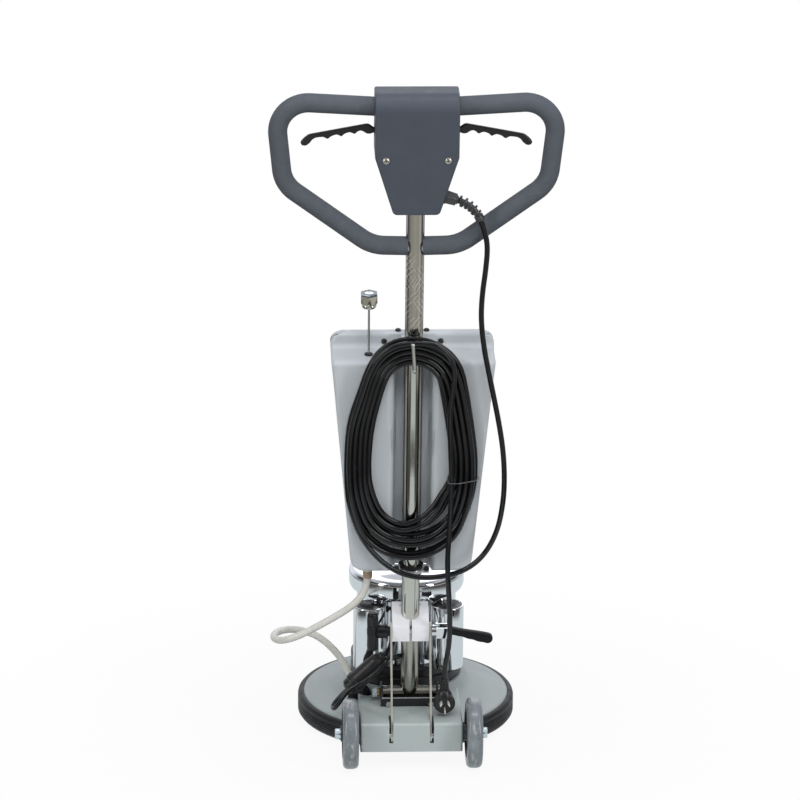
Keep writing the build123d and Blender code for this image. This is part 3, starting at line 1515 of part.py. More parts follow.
# Plug: a round side-entry body with a ribbed relief and three flat blades
blade_length = 17.0
with BuildPart() as plug:
    plug_x, plug_y, plug_z = plug_centre
    with BuildSketch(Plane.XZ.offset(-plug_y - plug_thickness / 2)):
        with Locations((plug_x, plug_z)):
            Circle(plug_radius)
    extrude(amount=plug_thickness)
    fillet(plug.edges().filter_by(GeomType.CIRCLE).sort_by(Axis.Y)[0], 2.0)
    fillet(plug.edges().filter_by(GeomType.CIRCLE).sort_by(Axis.Y)[-1], 6.0)
    with BuildSketch(Plane.XY.offset(plug_z)):
        with Locations((plug_x, plug_y)):
            Circle(cord_radius + 2.0)
    extrude(amount=plug_relief_top - 0.05 - plug_z, taper=2.0)
    for ring in range(4):
        with BuildSketch(Plane.XY.offset(plug_z + plug_radius + 5.0 + 5.0 * ring)):
            with Locations((plug_x, plug_y)):
                Circle(cord_radius + 2.6 - 0.3 * ring)
        extrude(amount=2.4)
    for x, z, turn in ((-7.0, 4.0, -30.0), (7.0, 4.0, 30.0), (0.0, -9.5, 0.0)):
        with BuildSketch(Plane.XZ.offset(-plug_y + plug_thickness / 2)):
            with Locations((plug_x + x, plug_z + z)):
                Rectangle(1.7, 6.4, rotation=turn)
        extrude(amount=blade_length)

# Water hose: from the outlet, round a loose loop on the left, down to the cover
hose_top = handle_point(valve_x, tank_bottom - 9.0, valve_w)
hose_foot = Vector(-101.0, -108.0, 80.0)
hose_points = [
    hose_top,
    handle_point(valve_x, tank_bottom - 31.0, valve_w),
    Vector(-84.0, -165.0, 301.0),
    Vector(-103.0, -169.0, 280.0),
    Vector(-133.0, -175.0, 262.5),
    Vector(-172.0, -183.0, 243.0),
    Vector(-207.0, -187.0, 226.5),
    Vector(-234.5, -172.0, 213.5),
    Vector(-247.5, -143.0, 208.5),
    Vector(-242.0, -110.0, 206.5),
    Vector(-220.5, -85.5, 203.5),
    Vector(-189.0, -76.0, 196.5),
    Vector(-161.0, -79.0, 184.5),
    Vector(-135.0, -87.0, 163.0),
    Vector(-116.5, -96.0, 140.0),
    Vector(-105.5, -104.0, 116.0),
    Vector(hose_foot.X, hose_foot.Y, 98.0),
    hose_foot,
]
water_hose = cord_tube("water_hose", hose_points, hose_radius, hose_radius - hose_wall)

hose_reach = math.hypot(hose_foot.X, hose_foot.Y)
cover_slope = (collar_foot_z - cover_edge_z) / (cover_edge - collar_radius - collar_foot)
inlet_floor = cover_edge_z + (cover_edge - hose_reach) * cover_slope
with BuildPart() as hose_inlet:
    with BuildSketch(Plane.XY.offset(inlet_floor - 6.0)):
        with Locations((hose_foot.X, hose_foot.Y)):
            Circle(7.0)
    extrude(amount=hose_foot.Z - 4.0 - inlet_floor)
    with BuildSketch(Plane.XY.offset(hose_foot.Z - 12.0)):
        with Locations((hose_foot.X, hose_foot.Y)):
            Circle(hose_radius - hose_wall - 0.1)
    extrude(amount=24.0)
    with BuildSketch(Plane.XZ):
        with BuildLine():
            Polyline(
                (0, 0),
                (cover_edge, 0),
                (cover_edge, cover_edge_z + seat_gap),
                (collar_radius + collar_foot, collar_foot_z + seat_gap),
                (0, collar_foot_z + seat_gap),
                close=True,
            )
        make_face()
    revolve(axis=Axis.Z, mode=Mode.SUBTRACT)

# Leads: out of the post, across an in-line connector and back into its foot; from the connector's
# head up between the capacitor cans to a grommet on the motor
connector_top = Vector(-46.0, -161.0, 181.3)
connector_axis = Vector(-0.706, 0, -0.708).normalized()
flange_reach = 69.0
connector_length = 94.0
connector_foot = connector_top + connector_axis * connector_length
grommet_length = 10.0
motor_lead_x = -22.0
motor_lead_z = 231.0
grommet_y = -math.sqrt(motor_radius**2 - motor_lead_x**2) - grommet_length
with BuildPart() as lead_connector:
    with BuildSketch(Plane(origin=connector_top, x_dir=connector_axis, z_dir=(0, 1, 0))):
        with BuildLine():
            Polyline(
                (0.05, 0),
                (0.05, 8.5),
                (4.0, 9.5),
                (7.0, 9.5),
                (8.5, 8.5),
                (11.0, 12.5),
                (18.0, 15.3),
                (30.0, 16.5),
                (flange_reach - 1.0, 17.8),
                (flange_reach, 19.5),
                (flange_reach + 3.0, 19.5),
                (flange_reach + 4.0, 18.0),
                (flange_reach + 5.0, 19.5),
                (flange_reach + 8.0, 19.5),
                (flange_reach + 9.5, 17.3),
                (connector_length - 5.0, 16.5),
                (connector_length - 0.05, 11.0),
                (connector_length - 0.05, 0),
                close=True,
            )
        make_face()
    revolve(axis=Axis(tuple(connector_top), tuple(connector_axis)))
    with BuildSketch(Plane(origin=(motor_lead_x, grommet_y, motor_lead_z), z_dir=(0, 1, 0))):
        Circle(lead_radius + 3.0)
    extrude(amount=grommet_length + 6.0)
    with BuildSketch(Plane.XY.offset(gearbox_top)):
        Circle(motor_radius + seat_gap / 2)
    extrude(amount=motor_top - gearbox_top, mode=Mode.SUBTRACT)

lead_exit = handle_point(-tube_radius - 0.2, lead_hole_height, 0)
handle_lead = cord_tube(
    "handle_lead",
    [
        lead_exit,
        Vector(-31.5, -172.0, 179.5),
        Vector(-43.5, -182.5, 172.5),
        Vector(-60.0, -187.0, 158.0),
        Vector(-80.0, -188.0, 142.0),
        Vector(-100.0, -188.0, 131.0),
        Vector(-116.0, -187.5, 119.0),
        Vector(-138.0, -187.0, 83.0),
        connector_foot + connector_axis * 40.0,
        connector_foot,
    ],
    lead_radius,
)
motor_lead = cord_tube(
    "motor_lead",
    [
        connector_top,
        connector_top - connector_axis * 10.0,
        Vector(-34.5, -157.0, 198.0),
        Vector(-31.0, -145.0, 210.0),
        Vector(-27.0, -126.0, 222.0),
        Vector(motor_lead_x, grommet_y - 10.0, motor_lead_z),
        Vector(motor_lead_x, grommet_y - 0.05, motor_lead_z),
    ],
    lead_radius,
)

pieces = {
    "base_cover": base_cover,
    "bumper_ring": bumper_ring,
    "gearbox_housing": gearbox_housing,
    "planet_carrier": planet_carrier,
    **planet_gears,
    "pad_driver": pad_driver,
    "floor_pad": floor_pad,
    "motor_body": motor_body,
    "stator": stator,
    "rotor": rotor,
    "cooling_fan": cooling_fan,
    "motor_cap": motor_cap,
    "bearings": bearings,
    "capacitor_covers": capacitor_covers,
    "capacitors": capacitors,
    "wheel_housing": wheel_housing,
    "wheel_axles": wheel_axles,
    **wheel_parts,
    "pivot_bracket": pivot_bracket,
    "pivot_bolt": pivot_bolt,
    "base_fasteners": base_fasteners,
    "braces": braces,
    "handle_post": handle_post,
    "handle_clamp": handle_clamp,
    "clamp_bolt": clamp_bolt,
    "cam_lever": cam_lever,
    "tee_knob": tee_knob,
    "handle_tube": handle_tube,
    "loop_frame": loop_frame,
    **grips,
    **box_covers,
    "control_switch": control_switch,
    **levers,
    "tank": tank,
    "filler_cap": filler_cap,
    "tank_hanger": tank_hanger,
    "tank_bush": tank_bush,
    "tank_ring": tank_ring,
    "outlet_fitting": outlet_fitting,
    "valve_rod": valve_rod,
    "handle_fasteners": handle_fasteners,
    "cord_hook": cord_hook,
    "cable_gland": cable_gland,
    "cord_lead": cord_lead,
    "cord_coil": cord_coil,
    "cord_tail": cord_tail,
    "plug": plug,
    "water_hose": water_hose,
    "hose_inlet": hose_inlet,
    "lead_connector": lead_connector,
    "handle_lead": handle_lead,
    "motor_lead": motor_lead,
}
print(len(pieces), "pieces")
for name, piece in pieces.items():
    piece.part.label = name
    export_step(piece.part, f"parts/{name}.step")
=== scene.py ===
"""Looks of the floor polisher: materials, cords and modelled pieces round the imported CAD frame."""
import json
import math

import bmesh
import bpy
from mathutils import Matrix, Vector


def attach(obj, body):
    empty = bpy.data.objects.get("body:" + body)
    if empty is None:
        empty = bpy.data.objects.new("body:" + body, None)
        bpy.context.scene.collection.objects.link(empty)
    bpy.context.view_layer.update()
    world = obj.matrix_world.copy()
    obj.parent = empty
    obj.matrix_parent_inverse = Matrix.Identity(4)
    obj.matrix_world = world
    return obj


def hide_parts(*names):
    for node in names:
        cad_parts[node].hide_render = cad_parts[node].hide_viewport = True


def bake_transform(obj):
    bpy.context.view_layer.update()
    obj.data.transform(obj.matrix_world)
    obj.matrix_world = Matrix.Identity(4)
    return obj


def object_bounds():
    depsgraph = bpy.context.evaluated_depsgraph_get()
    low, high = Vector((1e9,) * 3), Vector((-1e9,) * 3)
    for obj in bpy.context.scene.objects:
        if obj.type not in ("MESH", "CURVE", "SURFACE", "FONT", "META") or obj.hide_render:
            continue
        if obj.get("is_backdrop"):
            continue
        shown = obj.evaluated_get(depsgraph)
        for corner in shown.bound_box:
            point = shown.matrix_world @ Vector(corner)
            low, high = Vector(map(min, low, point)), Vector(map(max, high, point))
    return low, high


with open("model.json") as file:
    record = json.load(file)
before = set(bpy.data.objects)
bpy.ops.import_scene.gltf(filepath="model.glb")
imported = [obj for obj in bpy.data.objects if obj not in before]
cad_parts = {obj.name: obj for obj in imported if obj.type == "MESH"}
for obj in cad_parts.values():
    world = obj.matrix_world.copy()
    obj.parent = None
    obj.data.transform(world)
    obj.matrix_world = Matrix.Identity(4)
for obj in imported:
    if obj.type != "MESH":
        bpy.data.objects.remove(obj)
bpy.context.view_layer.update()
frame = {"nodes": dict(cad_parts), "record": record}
nodes = frame["nodes"]
scene = bpy.context.scene

# The handle's own coordinates, in millimetres: x across, d up the tube, w forward
LEAN = math.radians(6.0)
PIVOT = Vector((0.0, -0.156, 0.107))
UP = Vector((0.0, -math.sin(LEAN), math.cos(LEAN)))
FORWARD = Vector((0.0, math.cos(LEAN), math.sin(LEAN)))
RIGHT = Vector((1.0, 0.0, 0.0))
Z_AXIS = (0, 0, 1)
ORIGIN = (0, 0, 0)
SIDES = ((-1, "left"), (1, "right"))

# Sizes that several pieces share, in millimetres
VALVE_X, VALVE_W, ROD_X = -77.0, 20.0, -78.2
TANK_BOTTOM, TANK_LEDGE, TANK_TOP = 247.0, 658.0, 685.0
WHEEL_X, WHEEL_Y, WHEEL_R = 111.0, -247.0, 63.5
MOTOR_RADIUS = 91.0


def hp(x, d, w):
    """A point of the handle in metres."""
    return PIVOT + (RIGHT * x + UP * d + FORWARD * w) / 1000.0


def mm(x, y, z):
    """A point of the base in metres."""
    return Vector((x, y, z)) / 1000.0


def unit(value):
    """A value held between 0 and 1."""
    return min(max(value, 0.0), 1.0)


def smooth_step(value, low, high):
    """A soft rise from 0 to 1."""
    t = unit((value - low) / (high - low))
    return t * t * (3 - 2 * t)


def hump(value, middle, half):
    """1 at the middle, falling to 0 at half a width to either side."""
    return max(1 - ((value - middle) / half) ** 2, 0.0)


# Materials


class Graph:
    """A node tree and short ways to add to it."""

    def __init__(self, tree):
        self.tree = tree

    def node(self, kind, **settings):
        made = self.tree.nodes.new(kind)
        for key, value in settings.items():
            setattr(made, key, value)
        return made

    def link(self, source, target):
        self.tree.links.new(source, target)

    def ramp(self, fac, stops):
        """A colour looked up from a value."""
        ramp = self.node("ShaderNodeValToRGB")
        elements = ramp.color_ramp.elements
        while len(elements) < len(stops):
            elements.new(0.5)
        for element, (place, color) in zip(elements, stops):
            element.position = place
            element.color = (*color, 1.0)
        self.link(fac, ramp.inputs["Fac"])
        return ramp.outputs["Color"]

    def span(self, value, low, high, to_low=0.0, to_high=1.0):
        """A value mapped from one range to another, clamped."""
        made = self.node("ShaderNodeMapRange")
        made.inputs["From Min"].default_value = low
        made.inputs["From Max"].default_value = high
        made.inputs["To Min"].default_value = to_low
        made.inputs["To Max"].default_value = to_high
        self.link(value, made.inputs["Value"])
        return made.outputs["Result"]

    def split(self, vector):
        """A vector's X, Y and Z."""
        made = self.node("ShaderNodeSeparateXYZ")
        self.link(vector, made.inputs["Vector"])
        return made.outputs

    def sums(self, operation, first, second=0.0):
        """A sum of one or two values."""
        made = self.node("ShaderNodeMath", operation=operation)
        for socket, value in zip(made.inputs, (first, second)):
            if isinstance(value, (int, float)):
                socket.default_value = value
            else:
                self.link(value, socket)
        return made.outputs[0]

    def blend(self, fac, first, second):
        """Two colours mixed by a factor; either may be a plain colour."""
        mix = self.node("ShaderNodeMix", data_type="RGBA")
        self.link(fac, mix.inputs["Factor"])
        for socket, value in zip((mix.inputs["A"], mix.inputs["B"]), (first, second)):
            if isinstance(value, tuple):
                socket.default_value = (*value, 1.0)
            else:
                self.link(value, socket)
        return mix.outputs["Result"]


class Shade(Graph):
    """A principled material with a few procedural layers."""

    def __init__(self, name, color, rough, metal, sockets):
        self.mat = bpy.data.materials.new(name)
        self.mat.use_nodes = True
        super().__init__(self.mat.node_tree)
        self.bsdf = self.tree.nodes["Principled BSDF"]
        self.bsdf.inputs["Base Color"].default_value = (*color, 1.0)
        self.bsdf.inputs["Roughness"].default_value = rough
        self.bsdf.inputs["Metallic"].default_value = metal
        for key, value in sockets.items():
            self.bsdf.inputs[key].default_value = value
        self.coords = self.node("ShaderNodeTexCoord").outputs["Object"]
        self.bump = None
        self.color = color
        self.rough = rough
        self.tint = None

    def placed(self, turn, scale=(1, 1, 1)):
        """Object coordinates, turned and stretched."""
        mapping = self.node("ShaderNodeMapping")
        mapping.inputs["Scale"].default_value = scale
        mapping.inputs["Rotation"].default_value = turn
        self.link(self.coords, mapping.inputs["Vector"])
        return mapping.outputs["Vector"]

    def noise(self, scale, detail, rough=0.55, stretch=None, turn=(0, 0, 0)):
        """Noise over the surface, from about 0.3 to 0.7."""
        noise = self.node("ShaderNodeTexNoise")
        noise.inputs["Scale"].default_value = scale
        noise.inputs["Detail"].default_value = detail
        noise.inputs["Roughness"].default_value = rough
        self.link(self.placed(turn, stretch) if stretch else self.coords, noise.inputs["Vector"])
        return noise.outputs["Fac"]

    def mottle(self, amount, scale, detail=5.0):
        """Slow colour variation about the base colour."""
        low = tuple(c * (1 - amount) for c in self.color)
        high = tuple(min(1.0, c * (1 + amount)) for c in self.color)
        fac = self.noise(scale, detail)
        self.tint = self.ramp(fac, [(0.3, low), (0.7, high)])
        self.link(self.tint, self.bsdf.inputs["Base Color"])
        return self

    def cover(self, fac, color):
        """A second colour laid over the first where fac is high."""
        self.tint = self.blend(fac, self.tint, color)
        self.link(self.tint, self.bsdf.inputs["Base Color"])
        return self

    def uneven(self, spread, scale, stretch=None):
        """Roughness that varies over the surface."""
        fac = self.noise(scale, 6.0, stretch=stretch)
        low, high = max(0.02, self.rough - spread), min(1.0, self.rough + spread)
        self.link(self.span(fac, 0.3, 0.7, low, high), self.bsdf.inputs["Roughness"])
        return self

    def grain(self, height, scale, strength, detail=2.0):
        """Fine bump, height in metres."""
        fac = self.noise(scale, detail)
        bump = self.node("ShaderNodeBump")
        bump.inputs["Strength"].default_value = strength
        bump.inputs["Distance"].default_value = height
        self.link(fac, bump.inputs["Height"])
        if self.bump:
            self.link(self.bump, bump.inputs["Normal"])
        self.bump = bump.outputs["Normal"]
        self.link(self.bump, self.bsdf.inputs["Normal"])
        return self


# Each look: colour, roughness, metallic, colour variation (amount, scale), roughness variation
# (spread, scale) and bumps (height in metres, scale, strength)
LOOKS = {
    "slate_plastic": (
        (0.066, 0.077, 0.099), 0.50, 0.0, (0.05, 40), (0.06, 60), (0.0003, 900, 0.3), (0.0002, 2400, 0.25),
    ),
    "slate_foam": (
        (0.093, 0.105, 0.123), 0.75, 0.0, (0.06, 60), (0.06, 90), (0.0006, 1400, 0.45, 3), (0.0008, 90, 0.12),
    ),
    "gloss_black": ((0.011, 0.011, 0.012), 0.2, 0.0, (0.15, 25), (0.06, 40), (0.0004, 60, 0.08)),
    "black_plastic": ((0.012, 0.012, 0.013), 0.38, 0.0, (0.12, 30), (0.08, 50), (0.0002, 900, 0.25)),
    "black_paint": ((0.015, 0.015, 0.016), 0.33, 0.0, (0.1, 20), (0.08, 45), (0.0002, 350, 0.15)),
    "bumper_rubber": ((0.014, 0.014, 0.015), 0.45, 0.0, (0.18, 22), (0.08, 60), (0.0003, 700, 0.2)),
    "cord_rubber": ((0.0060, 0.0060, 0.0070), 0.14, 0.0, (0.15, 30), (0.05, 55), (0.0002, 500, 0.05)),
    "bush_rubber": ((0.012, 0.012, 0.012), 0.5, 0.0, (0.15, 40), (0.08, 60), (0.0002, 700, 0.2)),
    "tank_plastic": (
        (0.50, 0.535, 0.565), 0.44, 0.0, (0.025, 12), (0.05, 30), (0.0004, 160, 0.08), (0.002, 14, 0.05),
    ),
    "grey_paint": ((0.335, 0.378, 0.378), 0.42, 0.0, (0.025, 15), (0.07, 35), (0.00025, 420, 0.2)),
    # A lighter copy of grey_paint for the wheel housing: painted light on its face
    "housing_grey_painted_light": ((0.385, 0.436, 0.432), 0.42, 0.0, (0.025, 15), (0.07, 35), (0.00025, 420, 0.2)),
    "chrome": ((0.80, 0.815, 0.84), 0.06, 1.0, (0.03, 9), (0.035, 25), (0.0012, 22, 0.05)),
    "tube_steel": ((0.60, 0.585, 0.535), 0.10, 1.0, (0.06, 14), (0.05, 40), (0.0006, 40, 0.05)),
    "steel": ((0.56, 0.56, 0.56), 0.3, 1.0, (0.06, 30), (0.08, 60), (0.0002, 300, 0.1)),
    "zinc": ((0.70, 0.70, 0.68), 0.24, 1.0, (0.08, 60), (0.1, 80), (0.0003, 120, 0.12)),
    "cast_aluminium": ((0.84, 0.85, 0.885), 0.36, 0.1, (0.04, 40), (0.08, 50), (0.0002, 260, 0.12)),
    "can_aluminium": ((0.66, 0.67, 0.68), 0.3, 1.0, (0.05, 40), (0.08, 50), (0.0002, 200, 0.1)),
    "laminated_steel": ((0.30, 0.26, 0.23), 0.45, 0.9, (0.2, 60), (0.1, 50), (0.0004, 300, 0.2)),
    "wheel_rubber": ((0.150, 0.175, 0.192), 0.30, 0.0, (0.12, 28), (0.1, 40), (0.0004, 120, 0.15)),
    "hub_plastic": ((0.045, 0.05, 0.055), 0.38, 0.0, (0.1, 30), (0.06, 40), (0.0003, 200, 0.1)),
    "brass": ((0.72, 0.52, 0.22), 0.25, 1.0, (0.08, 60), (0.08, 70), (0.0002, 200, 0.1)),
    "hose_vinyl": ((0.575, 0.57, 0.53), 0.28, 0.0, (0.04, 40), (0.05, 40), (0.0003, 120, 0.1)),
    "pad_fibre": ((0.03, 0.03, 0.032), 0.95, 0.0, (0.4, 220, 8), (0.04, 90), (0.002, 500, 0.8, 6)),
    "brace_steel": ((0.72, 0.70, 0.64), 0.4, 0.7, (0.08, 40), (0.1, 60), (0.0003, 120, 0.1)),
    "gland_nylon": ((0.045, 0.046, 0.049), 0.30, 0.0, (0.1, 40), (0.08, 60), (0.0002, 500, 0.15)),
    "screw_zinc": ((0.66, 0.64, 0.58), 0.3, 1.0, (0.1, 90), (0.1, 120), (0.0002, 500, 0.15)),
    "recess_painted_shade": ((0.03, 0.03, 0.03), 0.5, 0.5, (0.2, 90), (0.1, 120), (0.0002, 500, 0.15)),
    "blue_zinc": ((0.74, 0.83, 0.88), 0.18, 0.8, (0.08, 120), (0.1, 140), (0.0002, 400, 0.15)),
    "post_steel": ((0.45, 0.432, 0.388), 0.24, 1.0, (0.08, 24), (0.05, 40), (0.0006, 40, 0.05)),
    "hanger_grey": ((0.36, 0.385, 0.40), 0.45, 0.0, (0.04, 30), (0.07, 40), (0.0002, 420, 0.15)),
    "collar_brown": ((0.36, 0.27, 0.17), 0.4, 0.0, (0.1, 60), (0.08, 80), (0.0002, 300, 0.15)),
    "knob_satin": ((0.74, 0.72, 0.63), 0.16, 1.0, (0.06, 60), (0.05, 90), (0.0002, 200, 0.1)),
    "knob_rim_painted_dark": ((0.13, 0.15, 0.17), 0.22, 1.0, (0.1, 90), (0.05, 90), (0.0002, 200, 0.1)),
    "can_top_painted_dark": ((0.035, 0.035, 0.037), 0.25, 0.6, (0.15, 60), (0.08, 60), (0.0003, 120, 0.12)),
    "blade_metal": ((0.78, 0.74, 0.66), 0.32, 0.4, (0.08, 90), (0.08, 90), (0.0002, 300, 0.1)),
    "cam_black": ((0.008, 0.008, 0.009), 0.42, 0.0, (0.12, 30), (0.08, 50), (0.0003, 500, 0.25)),
    "ring_grey": ((0.50, 0.51, 0.52), 0.3, 0.6, (0.08, 60), (0.08, 60), (0.0002, 300, 0.12)),
    "tee_black": ((0.008, 0.008, 0.009), 0.18, 0.0, (0.15, 40), (0.05, 60), (0.0003, 90, 0.1)),
    "lever_black": ((0.013, 0.013, 0.014), 0.2, 0.0, (0.15, 40), (0.05, 60), (0.0003, 90, 0.1)),
    "tie_wire": ((0.085, 0.085, 0.090), 0.35, 0.0, (0.1, 60), (0.08, 80), (0.0002, 300, 0.1)),
}
# Other sockets of the shader
SOCKETS = {
    "slate_plastic": {"Specular IOR Level": 0.3},
    "slate_foam": {"Specular IOR Level": 0.18},
    "bumper_rubber": {"Specular IOR Level": 0.3},
    "cord_rubber": {"Specular IOR Level": 0.48},
    "tank_plastic": {"Specular IOR Level": 0.3},
    "tube_steel": {"Specular Tint": (0.08, 0.08, 0.08, 1.0)},
    "wheel_rubber": {"Coat Weight": 0.35, "Coat Roughness": 0.12},
    "hose_vinyl": {"Coat Weight": 0.2, "Coat Roughness": 0.15},
    "post_steel": {"Specular Tint": (0.3, 0.3, 0.3, 1.0)},
    "cam_black": {"Specular IOR Level": 0.2},
    "tee_black": {"Specular IOR Level": 0.35},
}
# Looks whose roughness runs along the drawn tube
DRAWN = {"tube_steel": (1.0, 1.0, 0.15), "post_steel": (1.0, 1.0, 0.15)}

M = {}
for name, (color, rough, metal, tint, wear, *bumps) in LOOKS.items():
    shade = M[name] = Shade(name, color, rough, metal, SOCKETS.get(name, {}))
    shade.mottle(*tint).uneven(*wear, stretch=DRAWN.get(name))
    for bump in bumps:
        shade.grain(*bump)

# Bumper: dust, and painted highlight lines: pale lines that run close to the crests of its ribs, standing in
# for the light on them. Heights in metres
HIGHLIGHTS_LOW, HIGHLIGHT_PITCH, HIGHLIGHT_AT = 0.0146, 0.0039, 0.45
HIGHLIGHTS_END, HIGHLIGHTS_FADED = 0.0335, 0.0342
ribbed = M["bumper_rubber"]
ribbed.cover(ribbed.span(ribbed.noise(130, 6.0, 0.6), 0.62, 0.8, 0.0, 0.3), (0.08, 0.08, 0.08))
# Painted highlight: pale bands at a fixed pitch up the ribs, fading out above them
height = ribbed.split(ribbed.coords)["Z"]
highlight_pitches = ribbed.sums("DIVIDE", ribbed.sums("SUBTRACT", height, HIGHLIGHTS_LOW), HIGHLIGHT_PITCH)
off_highlight = ribbed.sums("ABSOLUTE", ribbed.sums("SUBTRACT", ribbed.sums("FRACT", highlight_pitches), HIGHLIGHT_AT))
on_highlight = ribbed.span(off_highlight, 0.06, 0.2, 1.0, 0.0)
highlight_on_ribs = ribbed.span(height, HIGHLIGHTS_END, HIGHLIGHTS_FADED, 0.62, 0.0)
ribbed.cover(ribbed.sums("MULTIPLY", on_highlight, highlight_on_ribs), (0.18, 0.18, 0.185))

# Tyres: scuffs on the tread, and pale patches
worn = M["wheel_rubber"]
off_middle = worn.sums("ABSOLUTE", worn.split(worn.coords)["X"])
off_middle = worn.sums("ABSOLUTE", worn.sums("SUBTRACT", off_middle, WHEEL_X / 1000.0))
on_tread = worn.span(off_middle, 0.003, 0.009, 1.0, 0.0)
scuff = worn.span(worn.noise(85, 5.0, 0.6, stretch=(1.5, 0.6, 0.6)), 0.53, 0.66)
scuff = worn.sums("MULTIPLY", worn.sums("MULTIPLY", scuff, on_tread), 0.6)
worn.cover(scuff, (0.50, 0.47, 0.42))
pale = worn.span(worn.noise(32, 4.0, 0.55, stretch=(1.2, 0.8, 0.8)), 0.50, 0.72, 0.0, 0.45)
worn.cover(pale, (0.34, 0.37, 0.39))

# Torn film left on the upper tube: thin white wrinkles, slanting across it. Each row of CREASES
# is the slant, the spacing and how often a wrinkle breaks off
CREASES = ((-0.50, 58.0, 30), (-0.68, 44.0, 34), (0.55, 50.0, 26))
FILM_WHITE, FILM_COVER = (0.86, 0.86, 0.84), 0.55
FOOT_D = PIVOT.y * math.sin(LEAN) + PIVOT.z * math.cos(LEAN)
film = M["tube_steel"]
height = film.split(film.placed(turn=(LEAN, 0.0, 0.0)))["Z"]
bottom_edge = film.span(height, 0.690 + FOOT_D, 0.712 + FOOT_D)
top_edge = film.span(height, 0.838 + FOOT_D, 0.850 + FOOT_D, 1.0, 0.0)
creases = None
for slant, spacing, broken in CREASES:
    turn = (0.0, slant, 0.0)
    wave = film.node("ShaderNodeTexWave", wave_type="BANDS", bands_direction="X")
    wave.inputs["Scale"].default_value = spacing
    wave.inputs["Distortion"].default_value = 0.9
    wave.inputs["Detail"].default_value = 2.0
    wave.inputs["Detail Scale"].default_value = 4.0
    film.link(film.placed(turn), wave.inputs["Vector"])
    part_way = film.span(film.noise(broken, 3.0, 0.5, stretch=(1.0, 1.0, 1.0), turn=turn), 0.50, 0.58)
    lines = film.sums("MULTIPLY", film.span(wave.outputs["Fac"], 0.965, 0.992), part_way)
    creases = film.sums("MAXIMUM", creases, lines) if creases else lines
wrinkles = film.sums("MULTIPLY", creases, film.sums("MULTIPLY", bottom_edge, top_edge))
film.cover(film.sums("MULTIPLY", wrinkles, FILM_COVER), FILM_WHITE)
bare = film.sums("SUBTRACT", 1.0, film.sums("MULTIPLY", wrinkles, FILM_COVER))
film.link(bare, film.bsdf.inputs["Metallic"])


def paint(obj, *names):
    """Give an object its materials, in slot order."""
    obj.data.materials.clear()
    for name in names:
        obj.data.materials.append(M[name].mat)
    return obj


subparts = {row["node"]: row["material_slot"] for row in frame["record"]["subparts"]}
for node_name, slot_name in subparts.items():
    paint(nodes[node_name], slot_name)
paint(nodes["handle_post"], "post_steel")
paint(nodes["tank_hanger"], "tank_plastic")


def dress(obj, body, slot_name, *replaced, look=None):
    """Paint a new piece, let it ride on its body and stand in for its CAD nodes."""
    paint(obj, look or slot_name)
    if replaced:
        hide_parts(*replaced)
    if body:
        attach(obj, body)
    return obj


# Mesh helpers


def add_mesh(name, verts, faces, smooth):
    """A new mesh object, shaded smooth up to an angle."""
    mesh = bpy.data.meshes.new(name)
    mesh.from_pydata([tuple(v) for v in verts], [], faces)
    mesh.validate()
    bm = bmesh.new()
    bm.from_mesh(mesh)
    bmesh.ops.recalc_face_normals(bm, faces=bm.faces)
    return finish_mesh(name, mesh, bm, smooth)


def finish_mesh(name, mesh, bm, smooth):
    """Write a bmesh back and make its object."""
    bm.to_mesh(mesh)
    bm.free()
    mesh.shade_smooth()
    mesh.set_sharp_from_angle(angle=math.radians(smooth))
    for face in mesh.polygons:
        if len(face.vertices) > 4:
            face.use_smooth = False
    obj = bpy.data.objects.new(name, mesh)
    scene.collection.objects.link(obj)
    return obj


SHARP_EDGE, SOFT_EDGE = math.radians(38.0), 35.0


def soften(name, node_name, width):
    """A CAD piece's own form with its sharp edges broken."""
    source = nodes[node_name]
    bm = bmesh.new()
    bm.from_mesh(source.data)
    bm.transform(source.matrix_world)
    bmesh.ops.remove_doubles(bm, verts=bm.verts, dist=2e-6)
    bmesh.ops.dissolve_limit(bm, angle_limit=math.radians(0.6), verts=bm.verts, edges=bm.edges)
    sharp = [e for e in bm.edges if len(e.link_faces) == 2 and e.calc_face_angle(0.0) > SHARP_EDGE]
    bmesh.ops.bevel(
        bm,
        geom=sharp,
        offset=width / 1000.0,
        offset_type="OFFSET",
        segments=3,
        profile=0.5,
        affect="EDGES",
        clamp_overlap=True,
    )
    return finish_mesh(name, bpy.data.meshes.new(name), bm, SOFT_EDGE)


def spline_points(name, points, steps):
    """Points of the smooth NURBS line that has a route's points as its control points."""
    curve = bpy.data.curves.new(name, "CURVE")
    curve.dimensions = "3D"
    spline = curve.splines.new("NURBS")
    spline.points.add(len(points) - 1)
    for point, place in zip(spline.points, points):
        point.co = (*place, 1.0)
    spline.order_u = 3
    spline.use_endpoint_u = True
    spline.resolution_u = steps
    curve.resolution_u = steps
    holder = bpy.data.objects.new(name, curve)
    scene.collection.objects.link(holder)
    bpy.context.view_layer.update()
    mesh = bpy.data.meshes.new_from_object(holder.evaluated_get(bpy.context.evaluated_depsgraph_get()))
    line = [v.co.copy() for v in mesh.vertices]
    bpy.data.objects.remove(holder)
    bpy.data.curves.remove(curve)
    bpy.data.meshes.remove(mesh)
    return line


def circle(centre, first, second, size, sides):
    """Points round a centre, in the plane of two directions."""
    ring = []
    for k in range(sides):
        angle = 2 * math.pi * k / sides
        ring.append(centre + (first * math.cos(angle) + second * math.sin(angle)) * size)
    return ring


def tube_rings(line, radius, sides):
    """Rings of points round a line, turned as little as possible from one to the next."""
    rings = []
    normal = None
    for index, place in enumerate(line):
        before = line[max(index - 1, 0)]
        after = line[min(index + 1, len(line) - 1)]
        along = (after - before).normalized()
        if normal is None:
            normal = along.orthogonal().normalized()
        normal = (normal - along * normal.dot(along)).normalized()
        rings.append(circle(place, normal, along.cross(normal), radius, sides))
    return rings


